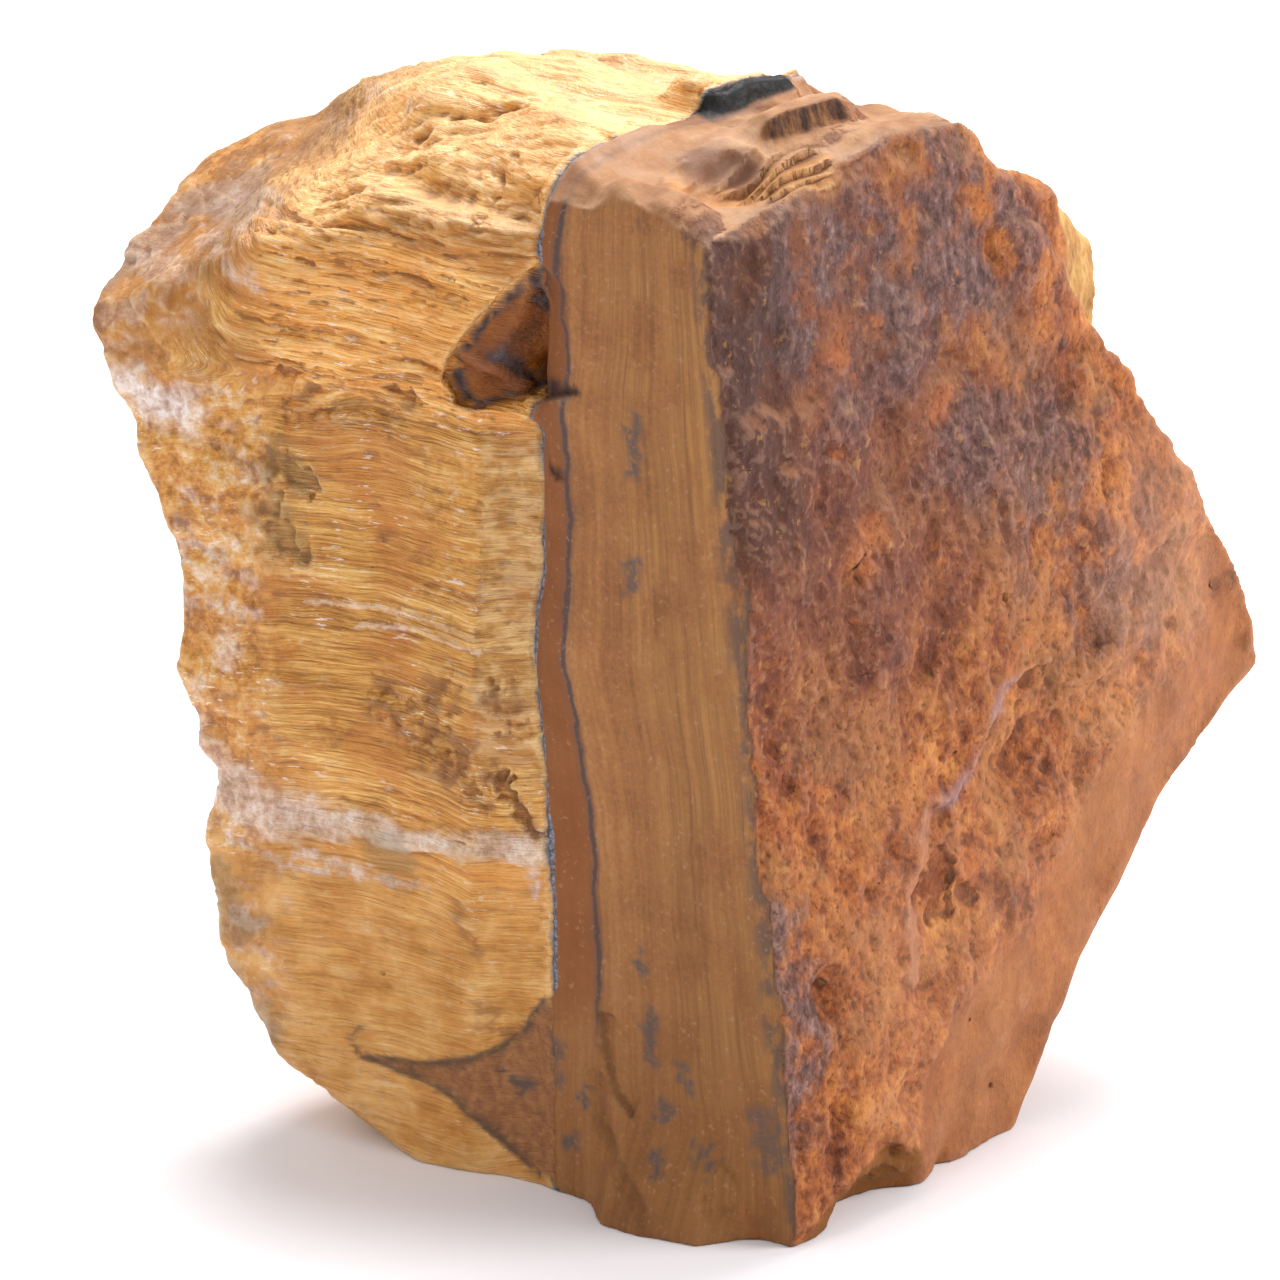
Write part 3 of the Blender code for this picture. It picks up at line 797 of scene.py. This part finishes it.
def mark_bedding(mark, points, normals, ragged):
    """Colours of the weathered bedding face, with painted highlights along the flake's edge and on its far
    right, of the arch at its foot in painted shade, and of the ochre patch behind it.
    """
    y, up = points[:, 1], points[:, 2]
    face = points[:, 1:]
    from_bedding = bedding_depth(points)
    reach = 5.0 * soft(y, -6.0, 2.0)  # the face bends inwards towards its far end
    facing = normals @ BEDDING_OUT + far_end(points)
    mark("rusty", soft(facing, 0.38, 0.62) * soft(from_bedding + ragged - reach, 4.2, 2.6))
    mark("shaded", soft(away_from_line(face, SHADED) + 2.0 * ragged, 24.0, 7.0))
    corner = soft(away_from_line(face, DARK_CORNER) + 1.5 * ragged, 6.0, 1.8)
    mark("dark_corner", corner * soft(normals[:, 2], 0.6, 0.3))
    violet = strongest(
        soft(away_from_line(face, VIOLET_TOP) + 3.0 * ragged, 15.0, 3.0),
        0.75 * soft(away_from_line(face, VIOLET_STREAK) + 3.0 * ragged, 8.0, 2.0),
        soft(away_from_line(face, VIOLET_FOOT) + 1.5 * ragged, 2.8, 1.2),
    )
    mark("violet", violet)
    spots = (soft(np.linalg.norm(face - spot, axis=1) + ragged, 1.9, 0.3) for spot in ORANGE_SPOTS)
    mark("orange", strongest(*spots))
    # painted highlight: a lilac-grey line along the middle of the flake's edge
    edge = away_from_line(face, FLAKE_EDGE) + 0.4 * ragged
    mark("flake_edge_highlight", soft(edge, 1.1, 0.1) * soft(y, 7.5, 4.5) * soft(y, -3.5, -1.0))
    mark("flank", near_line(face, FLANK, 1.3, 0.5))
    mark("red_pit", near_line(face, RED_PIT, 1.6, 0.8))
    # painted light: paler towards the far right, where the light from the right falls, and paler low down
    # near the break
    far = 0.9 * soft(y + 4.0 * ragged, 10.0, 24.0) * soft(up, 50.0, 40.0)
    low = 0.35 * soft(up + 3.0 * ragged, 30.0, 16.0) * soft(y, -12.0, -7.0)
    mark("lit_right_pale_low", np.maximum(far, low) * (1.0 - 0.8 * worn(points)))
    mark("worn", worn(points))
    mark("arch", within(face, ARCH, 0.3) * soft(from_bedding, 0.30, 0.55))
    behind = soft(y + ragged, 6.0, 9.0) * soft(from_bedding, 0.9, 1.5) * soft(up + 3.0 * ragged, 40.0, 44.0)
    mark("golden", 0.85 * soft(from_bedding + 2.5 * ragged, 12.0, 7.0) * behind)


def mark_top(mark, points, normals, ragged):
    """Colours of the chipped top: painted light on facets that face up, the scoop with its shade and its
    painted lit side, splinters in painted shade and highlight, brown block and black glass.
    """
    up = points[:, 2]
    # painted light: facets that face up get a paler, greyer tint
    mark("upward", soft(normals[:, 2], 0.28, 0.60) * soft(up, 40.0, 50.0))
    side_on = 1.0 - 0.8 * soft(normals[:, 2], 0.70, 0.85)
    mark("block", near_line(points, BROWN_BLOCK, 1.5, 0.1) * soft(up, 68.2, 68.5) * side_on)
    mark("splinters", near_line(points, SPLINTERS, 2.4, 0.5))
    mark("shard", shards(points))
    mark("scoop_shade", soft(away_from_line(points, SCOOP_SHADE) + 0.5 * ragged, 1.9, 0.7))
    # painted light on the scoop's lit side
    mark("scoop_lit_side", soft(away_from_line(points, SCOOP_LIT_SIDE) + 0.5 * ragged, 1.8, 0.6))
    mark("black", black_glass(points))


def mark_break(mark, points):
    """Smudges, and painted shade along a chip, the scar's edge and the crease, in the notch and under the
    shelf on the clean break.
    """
    left, up, inward, on_break = break_places(points)
    front = soft(inward, 3.0, 1.5)
    smudged = strongest(
        near_any(on_break, SMUDGES, 0.6, 1.6),
        near_any(on_break, TONGUE_SMUDGES, 0.5, 1.6),
        0.8 * near_line(on_break, BROAD_SMUDGE, 1.3, 1.2),
    )
    mark("smudged", front * smudged)
    # painted shade: dark lines along a small chip, the scar's upper edge and the crease
    chipped = strongest(
        near_line(on_break, CHIP, 0.32, 0.4),
        0.40 * near_line(on_break, SCAR_EDGE, 0.26, 0.6),
        0.24 * near_line(on_break, FOOT_CREASE, 0.4, 0.5),
    )
    mark("chipped", front * chipped)
    # painted shade: the ironstone slopes down into the notch and is made darker there
    mark("notch", in_notch(points) * soft(left, 16.6, 19.2))
    # painted shadow: a dark wedge under the shelf
    shade_width = 0.15 + 0.22 * np.clip(left - 16.0, 0.0, 4.0)
    off_shade = np.abs(up - shelf_height(left) - 0.8 * shade_width) / shade_width
    mark("shelf_shadow", front * soft(off_shade, 1.3, 0.7) * soft(left, 15.6, 16.4))


def mark_ironstone(mesh):
    """Give the ironstone's points the masks and places that its finish reads."""
    points = mesh_points(mesh)
    normals = mesh_normals(mesh)
    ragged = 0.8 * rough(points * 0.4, 61, 3)
    mark = functools.partial(add_mask, mesh)
    mark("proud", standing_out(mesh, NEARBY))
    mark("bulging", standing_out(mesh, ALL_ROUND))
    across = points[:, 0] - seam_x(points)
    from_bedding = bedding_depth(points)
    mark("from_seam", across + 3.0 * tongue(points))
    mark("from_line", across + 1.65 * soft(points[:, 2], 51.0, 63.0))
    mark("from_bedding", from_bedding)
    layer = 16.0 * across / np.maximum(across + from_bedding, 1.0)
    add_places(mesh, "layer", np.stack([layer, 0.04 * points[:, 1], 0.03 * points[:, 2]], axis=1))
    mark_bedding(mark, points, normals, ragged)
    mark_top(mark, points, normals, ragged)
    mark_break(mark, points)


# ---------------------------------------------------------------- materials

def colour(code):
    """A linear colour from its screen code."""
    parts = [int(code[k:k + 2], 16) / 255.0 for k in (0, 2, 4)]
    return tuple(p / 12.92 if p <= 0.04045 else ((p + 0.055) / 1.055) ** 2.4 for p in parts) + (1.0,)


class Finish:
    """A node material that is built up one layer at a time."""

    def __init__(self, name):
        self.material = bpy.data.materials.new(name)
        self.material.use_nodes = True
        self.nodes = self.material.node_tree.nodes
        self.links = self.material.node_tree.links
        self.surface = self.nodes["Principled BSDF"]

    def put(self, socket, value):
        """Link a value into a socket, or set it there if it is a constant."""
        if isinstance(value, bpy.types.NodeSocket):
            self.links.new(value, socket)
        else:
            socket.default_value = value

    def attribute(self, name, output):
        node = self.nodes.new("ShaderNodeAttribute")
        node.attribute_name = name
        return node.outputs[output]

    def mask(self, name):
        return self.attribute(name, "Fac")

    def places_of(self, name):
        return self.attribute(name, "Vector")

    def places_in_mm(self):
        return self.stretched(self.nodes.new("ShaderNodeTexCoord").outputs["Object"], (1.0 / MM,) * 3)

    def stretched(self, vector, scale):
        node = self.nodes.new("ShaderNodeVectorMath")
        node.operation = "MULTIPLY"
        self.put(node.inputs[0], vector)
        node.inputs[1].default_value = scale
        return node.outputs["Vector"]

    def up(self, vector):
        node = self.nodes.new("ShaderNodeSeparateXYZ")
        self.put(node.inputs["Vector"], vector)
        return node.outputs["Z"]

    def noise(self, vector, scale, detail=2.0, roughness=0.5):
        """Noise from 0 to 1; the scale may differ along each axis."""
        scales = scale if isinstance(scale, tuple) else (scale,) * 3
        node = self.nodes.new("ShaderNodeTexNoise")
        self.put(node.inputs["Vector"], self.stretched(vector, scales))
        node.inputs["Scale"].default_value = 1.0
        node.inputs["Detail"].default_value = detail
        node.inputs["Roughness"].default_value = roughness
        return node.outputs["Fac"]

    def between(self, value, start, end, low=0.0, high=1.0):
        """Map a range of values to another, eased and clamped."""
        node = self.nodes.new("ShaderNodeMapRange")
        node.interpolation_type = "SMOOTHSTEP"
        self.put(node.inputs["Value"], value)
        for socket, number in zip(("From Min", "From Max", "To Min", "To Max"), (start, end, low, high)):
            node.inputs[socket].default_value = number
        return node.outputs["Result"]

    def math(self, operation, a, b):
        node = self.nodes.new("ShaderNodeMath")
        node.operation = operation
        self.put(node.inputs[0], a)
        self.put(node.inputs[1], b)
        return node.outputs["Value"]

    def times(self, first, *others):
        """Multiply values, and constants after them."""
        for other in others:
            first = self.math("MULTIPLY", first, other)
        return first

    def sum_of(self, *shares):
        """Add up (value, weight) pairs."""
        total = None
        for value, weight in shares:
            part = self.times(value, weight)
            total = part if total is None else self.math("ADD", total, part)
        return total

    def ramp(self, value, *stops):
        """Colours along a ramp, each stop a (position, colour code) pair."""
        node = self.nodes.new("ShaderNodeValToRGB")
        elements = node.color_ramp.elements
        for _ in stops[2:]:
            elements.new(0.5)
        for element, (position, code) in zip(elements, stops):
            element.position = position
            element.color = colour(code)
        self.put(node.inputs["Fac"], value)
        return node.outputs["Color"]

    def mix(self, factor, below, above):
        """Blend from one colour to another."""
        node = self.nodes.new("ShaderNodeMix")
        node.data_type = "RGBA"
        self.put(node.inputs["Factor"], factor)
        colour_sockets = [socket for socket in node.inputs if socket.type == "RGBA"]
        for socket, value in zip(colour_sockets, (below, above)):
            self.put(socket, colour(value) if isinstance(value, str) else value)
        return next(socket for socket in node.outputs if socket.type == "RGBA")

    def coated(self, base, *coats):
        """Lay colours over a base in turn, each as (colour, mask's name or value, share)."""
        for above, where, share in coats:
            amount = self.mask(where) if isinstance(where, str) else where
            base = self.mix(amount if share == 1.0 else self.times(amount, share), base, above)
        return base

    def raise_by(self, height, distance):
        node = self.nodes.new("ShaderNodeBump")
        node.inputs["Distance"].default_value = distance
        self.put(node.inputs["Height"], height)
        self.put(self.surface.inputs["Normal"], node.outputs["Normal"])

    def finish(self, base, roughness, specular):
        self.put(self.surface.inputs["Base Color"], base)
        self.put(self.surface.inputs["Roughness"], roughness)
        self.surface.inputs["Specular IOR Level"].default_value = specular
        return self.material


BLACK_GLASS = "0B0707"
SHADE_BROWN = "1E0E08"
DARK_LINE = 3.75  # how far into the ironstone the dark line runs, before it wanders
FIBRE_HEIGHT = 0.36 * MM
GRIT_HEIGHT = 0.35 * MM


def golden_fibres(make, fibre, place, loose):
    """Amber to cream along the fibres, brighter in the cap and low down, under a thin granular veil."""
    broad = make.noise(fibre, (0.05, 0.50, 0.25), 2.0)
    strand = make.noise(fibre, (0.10, 2.4, 0.9), 3.0, 0.6)
    thread = make.noise(fibre, (0.30, 7.5, 2.4), 3.0, 0.65)
    tone = make.sum_of((broad, 0.25), (strand, 0.27), (thread, 0.48))
    warm = make.between(make.noise(place, 0.20, 3.0), 0.46, 0.62)
    gold = make.ramp(
        tone, (0.36, "7E4A0E"), (0.43, "A86C20"), (0.49, "C98C38"), (0.55, "DBA452"), (0.61, "ECC480"),
        (0.69, "F8E6C6"),
    )
    bright = make.ramp(
        tone, (0.36, "92560E"), (0.43, "C88028"), (0.49, "E8A048"), (0.55, "F6BC6A"), (0.61, "FCD696"),
        (0.69, "FFF2E0"),
    )
    veiled = make.between(make.noise(place, (0.16, 0.16, 0.30), 4.0, 0.6), 0.52, 0.66)
    veiled = make.times(veiled, 0.55, make.between(make.mask("bright"), 0.0, 1.0, 1.0, 0.4))
    gold = make.coated(
        gold,
        ("B86A1A", warm, 0.55),
        (make.coated(bright, ("D8841C", warm, 0.35)), "bright", 1.0),
        (loose, veiled, 1.0),
    )
    return gold, strand, thread


def vein_finish():
    """Silky golden fibres with painted amber shade in their recesses and painted highlights on their crests,
    white flecks, milky quartz and a painted highlight on the top that faces up.
    """
    make = Finish("golden_fibre")
    fibre = make.places_of("fibre")
    place = make.places_in_mm()
    crumb = make.noise(place, 1.5, 4.0, 0.7)
    cloud = make.noise(place, 0.34, 3.0, 0.55)
    loose = make.ramp(
        make.sum_of((crumb, 0.5), (cloud, 0.5)),
        (0.38, "7A440C"), (0.45, "A86618"), (0.50, "C8862E"), (0.55, "D09C50"), (0.61, "DCBC98"),
        (0.70, "EFE4E2"),
    )
    gold, strand, thread = golden_fibres(make, fibre, place, loose)

    flecks = make.between(make.noise(fibre, (0.80, 4.0, 4.0), 3.0, 0.6), 0.60, 0.67)
    patchy = make.between(make.noise(place, 0.22, 2.0), 0.44, 0.62)
    banded = make.between(make.noise(fibre, (0.5, 1.2, 0.3), 2.0), 0.40, 0.60)
    mellow = make.ramp(cloud, (0.38, "B0742A"), (0.52, "C99048"), (0.64, "DAA866"))
    earthy = make.ramp(cloud, (0.36, "6E4420"), (0.50, "9A6830"), (0.64, "B88A4C"))
    quartz = make.ramp(
        make.sum_of((crumb, 0.55), (cloud, 0.45)),
        (0.36, "8E6E58"), (0.45, "B89C8C"), (0.53, "D2C0B8"), (0.62, "EEE6E4"),
    )
    # painted shade: darker amber in recesses and broad hollows, and a painted highlight on crests
    recess_shade = make.between(make.mask("proud"), -0.01, -0.10)
    recess_shade = make.times(recess_shade, make.between(make.mask("mellow"), 0.0, 1.0, 0.65, 0.3))
    hollow_shade = make.between(make.mask("bulging"), -0.10, -0.50)
    crest_highlight = make.between(make.mask("proud"), 0.02, 0.09)
    base = make.coated(
        gold,
        (loose, "granular", 0.72),
        ("EFE0D2", make.times(flecks, patchy), 0.75),
        (make.mix(banded, "9A6E34", "DEC090"), "selvage", 0.38),
        (mellow, "mellow", 0.6),
        # real honey-brown tone, plus painted shade on the cap beside the break's top
        (make.mix(cloud, "7A4206", "C07C24"), "honey_and_shade", 0.8),
        (earthy, "weathered", 0.6),
        (quartz, "quartz", 0.72),
        (make.mix(crumb, "54362A", "B89C8A"), "dusky", 0.6),
        ("7A4410", recess_shade, 1.0),
        ("8A5218", hollow_shade, 0.40),
        ("F4D8A0", crest_highlight, 0.22),
        # painted highlight on the cap's upward-facing top
        ("F6CC98", "upward", 0.42),
        ("7A6440", "olive", 0.45),
        # crumbled stains, plus painted shadow in the crevice and the top's cracks
        (make.mix(crumb, "3E1E0A", "A4642A"), "stains_and_crack_shade", 0.75),
    )

    # painted shade: the notch's broken surface, under the cap's overhang, is coloured a darker amber
    amber = make.ramp(cloud, (0.38, "6A3606"), (0.52, "8A4A08"), (0.66, "A05C10"))
    earth = make.ramp(crumb, (0.36, "845028"), (0.52, "966030"), (0.68, "A67040"))
    mottle = make.ramp(crumb, (0.36, "14121A"), (0.48, "2C2A30"), (0.58, "4C4648"), (0.66, "6E4214"))
    edge = make.ramp(crumb, (0.36, "2E3038"), (0.50, "5A5C66"), (0.64, "868890"))
    base = make.coated(
        base,
        (amber, "notch", 1.0),
        (earth, "tongue", 1.0),
        ("4A3626", "tongue_edge", 0.8),
        ("3C3634", "smudged", 0.8),
        (mottle, "rim", 1.0),
        ("8E5228", "streak", 1.0),
        (edge, "seam_edge", 1.0),
        (BLACK_GLASS, "black", 1.0),
    )

    dull = make.sum_of((make.between(strand, 0.35, 0.65, 0.34, 0.60), 1.0), (make.mask("black"), 0.05))
    silky = make.sum_of((strand, 0.55), (thread, 0.45))
    silky = make.times(silky, make.between(make.mask("granular"), 0.9, 0.1))
    sugary = make.noise(place, 2.6, 3.0, 0.6)
    make.raise_by(make.sum_of((silky, 1.0), (sugary, 0.35)), FIBRE_HEIGHT)
    return make.finish(base, dull, specular=0.5)


def layered_brown(make, place, speck, cloud):
    """Thin brown layers, with a dark line beside the seam, a grey-blue seam and smudges, and painted shade
    towards the bottom.
    """
    up = make.up(place)
    layer = make.places_of("layer")
    from_line = make.mask("from_line")
    from_bedding = make.mask("from_bedding")
    thin = make.noise(layer, (3.2, 3.0, 3.0), 3.0, 0.6)
    wide = make.noise(layer, (0.55, 1.0, 1.0), 2.0)
    ragged = make.noise(place, (0.9, 0.9, 0.5), 3.0, 0.6)
    brown = make.ramp(
        make.sum_of((thin, 0.22), (wide, 0.28), (speck, 0.28), (cloud, 0.22)),
        (0.38, "7A4E2A"), (0.46, "8E5C34"), (0.53, "9E6A3C"), (0.62, "AE7C4C"),
    )
    streaks = make.ramp(
        make.noise(layer, (3.4, 1.6, 1.6), 4.0, 0.7),
        (0.34, "6A482C"), (0.46, "8A6034"), (0.56, "9E7040"), (0.68, "B0803E"),
    )
    banding = make.times(make.between(from_bedding, 9.5, 5.5), make.between(cloud, 0.35, 0.60))
    strip = make.times(make.between(from_line, 3.5, 3.0), make.between(up, 8.0, 18.0))
    edge_tint = make.times(make.between(from_bedding, 1.9, 0.7), make.between(ragged, 0.36, 0.54))
    wander = make.noise(place, (0.3, 0.3, 0.35), 3.0)
    line_place = make.sum_of((from_line, 1.0), (wander, 1.1), (speck, 0.35))
    off_line = make.math("ABSOLUTE", make.math("SUBTRACT", line_place, DARK_LINE), 0.0)
    fading = make.between(up, 9.0, 16.0)
    off_seam = make.sum_of((make.mask("from_seam"), 1.0), (ragged, 0.3), (speck, -0.2))
    seam_tint = make.ramp(speck, (0.38, "34343C"), (0.50, "62646E"), (0.62, "8C8E98"))
    dust = make.between(make.noise(place, 2.4, 3.0, 0.6), 0.60, 0.70)
    smudges = make.times(make.mask("smudged"), make.between(speck, 0.30, 0.55))
    return make.coated(
        brown,
        (streaks, banding, 0.55),
        # painted shade: darker towards the bottom
        ("70461E", make.between(up, 34.0, 4.0), 0.40),
        (make.mix(cloud, "723E18", "864C22"), strip, 0.8),
        ("564640", edge_tint, 0.75),
        ("3E3638", make.times(make.between(off_line, 0.26, 0.06), fading), 0.85),
        ("5A4A46", make.times(make.between(off_line, 0.75, 0.15), fading), 0.25),
        (seam_tint, make.between(off_seam, 0.44, 0.30), 1.0),
        ("C09078", dust, 0.25),
        ("4C4848", smudges, 0.8),
    )


def bedding_rust(make, place, grit, cloud):
    """Rust, violet-grey and ochre of the weathered bedding face, with painted shade in its pits and hollows,
    and painted highlights on its proud bits, along the flake's edge and on its far right.
    """
    blotch = make.noise(place, (0.26, 0.26, 0.20), 4.0, 0.6)
    rust = make.ramp(
        make.sum_of((blotch, 0.5), (grit, 0.5)),
        (0.37, "4C200E"), (0.44, "743A18"), (0.50, "8E4C22"), (0.57, "A6622C"), (0.67, "C28240"),
    )
    violet = make.ramp(grit, (0.36, "382826"), (0.48, "56403E"), (0.58, "6C5452"), (0.68, "847070"))
    tan = make.between(make.noise(place, (0.15, 0.15, 0.12), 3.0), 0.50, 0.64)
    spots = make.between(make.noise(place, 0.50, 4.0, 0.65), 0.60, 0.70)
    ochre = make.between(make.noise(place, 0.9, 4.0, 0.65), 0.60, 0.72)
    pores = make.between(make.noise(place, 2.6, 2.0, 0.5), 0.38, 0.30)
    veil = make.times(make.mask("violet"), make.between(blotch, 0.60, 0.44))
    # painted shade in pits, less on the worn facets
    pits = make.between(make.mask("proud"), -0.01, -0.07)
    pits = make.times(pits, make.between(make.mask("worn"), 1.0, 0.2))
    edge = make.times(make.mask("flake_edge_highlight"), make.between(blotch, 0.40, 0.55))
    return make.coated(
        rust,
        ("A87444", tan, 0.40),
        ("58322A", "shaded", 0.68),
        (violet, veil, 0.78),
        ("B4642C", spots, 0.45),
        ("3C221A", "dark_corner", 0.72),
        ("B4622A", "orange", 0.45),
        ("C08A4C", ochre, 0.40),
        ("3A1C10", pores, 0.55),
        (make.mix(cloud, "86502C", "A46A40"), "worn", 0.6),
        ("4E2816", pits, 0.55),
        # painted shade in broad hollows, then a painted highlight on proud bits
        ("6A3420", make.between(make.mask("bulging"), -0.05, -0.35), 0.4),
        ("B88A70", make.between(make.mask("proud"), 0.015, 0.06), 0.18),
        # painted highlight along the flake's edge
        ("8E7C84", edge, 0.5),
        # painted light on the far right, and a paler tint low down near the break
        ("D09C78", "lit_right_pale_low", 0.32),
        ("B27E60", "flank", 0.45),
        (make.mix(grit, "4A1C0C", "8E4620"), "red_pit", 0.6),
    )


def ironstone_finish():
    """Matt brown ironstone in thin layers, rusty and violet-grey on its bedding face."""
    make = Finish("banded_ironstone")
    place = make.places_in_mm()
    speck = make.noise(place, 3.4, 4.0, 0.72)
    cloud = make.noise(place, 0.30, 3.0, 0.55)
    grit = make.noise(place, (1.3, 1.3, 0.9), 5.0, 0.7)
    grain_up = make.noise(place, (0.5, 1.1, 0.3), 5.0, 0.7)
    # painted light: a paler, greyer tint on facets that face up, more where the face is not rusty
    lit_top_share = make.times(make.mask("upward"), make.between(make.mask("rusty"), 1.0, 0.0, 0.22, 0.65))
    lit_top_tint = make.ramp(cloud, (0.36, "8E6448"), (0.50, "AC8260"), (0.64, "BA967C"))
    # painted shade at each splinter's foot, under the one above it, easing to a painted highlight at its
    # sharp edge
    splinter_shading = make.ramp(
        make.mask("shard"), (0.02, "6A3C1E"), (0.18, "9A6430"), (0.60, "BC8850"), (0.95, "CCA478"),
    )
    golden = make.ramp(
        make.sum_of((grit, 0.35), (cloud, 0.65)), (0.38, "8A6030"), (0.50, "B08244"), (0.62, "CDA464"),
    )
    upright = make.ramp(grain_up, (0.40, "2A160C"), (0.50, "54321A"), (0.64, "8A5C34"))
    base = make.coated(
        layered_brown(make, place, speck, cloud),
        (bedding_rust(make, place, grit, cloud), "rusty", 1.0),
        (lit_top_tint, lit_top_share, 1.0),
        (splinter_shading, "splinters", 0.75),
        # painted light on the scoop's lit side
        ("C4864A", "scoop_lit_side", 0.5),
        ("7C6058", "scoop_shade", 0.6),
        (golden, "golden", 1.0),
        # painted shade: the arch's recess under the overhang is coloured a darker brown
        (make.mix(cloud, "6A3C12", "8C5820"), "arch", 1.0),
        (upright, "block", 1.0),
        # painted shade where the ironstone slopes into the notch
        (make.mix(cloud, "5A2E0A", "7A440E"), "notch", 0.8),
        # painted shade and shadow in near-black brown
        (SHADE_BROWN, "chipped", 0.9),
        (SHADE_BROWN, "shelf_shadow", 0.85),
        (BLACK_GLASS, "black", 1.0),
    )

    dull = make.sum_of((make.between(speck, 0.3, 0.7, 0.62, 0.82), 1.0), (make.mask("black"), -0.20))
    coarse = make.times(grit, 0.9, make.mask("rusty"))
    make.raise_by(make.sum_of((coarse, 1.0), (speck, 0.18)), GRIT_HEIGHT)
    return make.finish(base, dull, specular=0.3)


# ---------------------------------------------------------------- putting it together

def finish_part(part, mark, material):
    """Mark a part for its material, bring it to metres, and let it stand for the solid."""
    mark(part.data)
    part.data.transform(Matrix.Scale(MM, 4))
    part.data.materials.clear()
    part.data.materials.append(material)
    part.data.polygons.foreach_set("use_smooth", [True] * len(part.data.polygons))
    part.data.update()
    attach(part, "root")
    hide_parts("stone")


def build_stone():
    fine = fine_stone()
    vein = stone_part(fine, "golden_vein", True)
    ironstone = stone_part(fine, "ironstone", False)
    bpy.data.objects.remove(fine)
    finish_part(vein, mark_vein, vein_finish())
    finish_part(ironstone, mark_ironstone, ironstone_finish())


def lay_floor():
    """A plain pale floor that runs out of view on every side."""
    bm = bmesh.new()
    bmesh.ops.create_grid(bm, x_segments=1, y_segments=1, size=FLOOR_REACH)
    floor = new_object("floor", bm)
    floor.data.materials.append(Finish("pale_floor").finish(colour("F6F4F8"), 0.7, specular=0.2))


def add_light(name, place, size, power):
    """A round soft light that shines at the middle of the stone."""
    light = bpy.data.lights.new(name, "AREA")
    light.shape = "DISK"
    light.size = size
    light.energy = power
    lamp = bpy.data.objects.new(name, light)
    lamp.location = place
    lamp.rotation_euler = (LIT_MIDDLE - Vector(place)).to_track_quat("-Z", "Y").to_euler()
    bpy.context.scene.collection.objects.link(lamp)


def light_studio():
    """A white room with one large soft light above and behind, and a weaker one at the far right."""
    world = bpy.data.worlds.new("studio")
    world.use_nodes = True
    background = world.node_tree.nodes["Background"]
    background.inputs["Color"].default_value = (1.0, 1.0, 1.0, 1.0)
    background.inputs["Strength"].default_value = ROOM_LIGHT
    bpy.context.scene.world = world
    add_light("overhead", (-0.15, 0.20, 0.60), size=0.40, power=5.0)
    add_light("right", (0.45, 0.35, 0.30), size=0.30, power=3.0)
    bpy.context.scene.view_settings.view_transform = "Standard"
    bpy.context.scene.view_settings.look = "None"


def set_camera():
    """Look slightly down at the edge between the clean break and the bedding face."""
    lens = bpy.data.cameras.new("camera")
    lens.sensor_width = 36.0
    lens.lens = lens.sensor_width * CAMERA_DISTANCE / VIEW_WIDTH
    lens.clip_start = 0.01
    lens.clip_end = 20.0
    camera = bpy.data.objects.new("camera", lens)
    backwards = Vector((
        math.sin(CAMERA_AZIMUTH) * math.cos(CAMERA_RISE),
        -math.cos(CAMERA_AZIMUTH) * math.cos(CAMERA_RISE),
        math.sin(CAMERA_RISE),
    ))
    camera.location = CAMERA_AIM + CAMERA_DISTANCE * backwards
    camera.rotation_euler = (-backwards).to_track_quat("-Z", "Y").to_euler()
    bpy.context.scene.collection.objects.link(camera)
    bpy.context.scene.camera = camera


set_camera()
build_stone()
lay_floor()
light_studio()
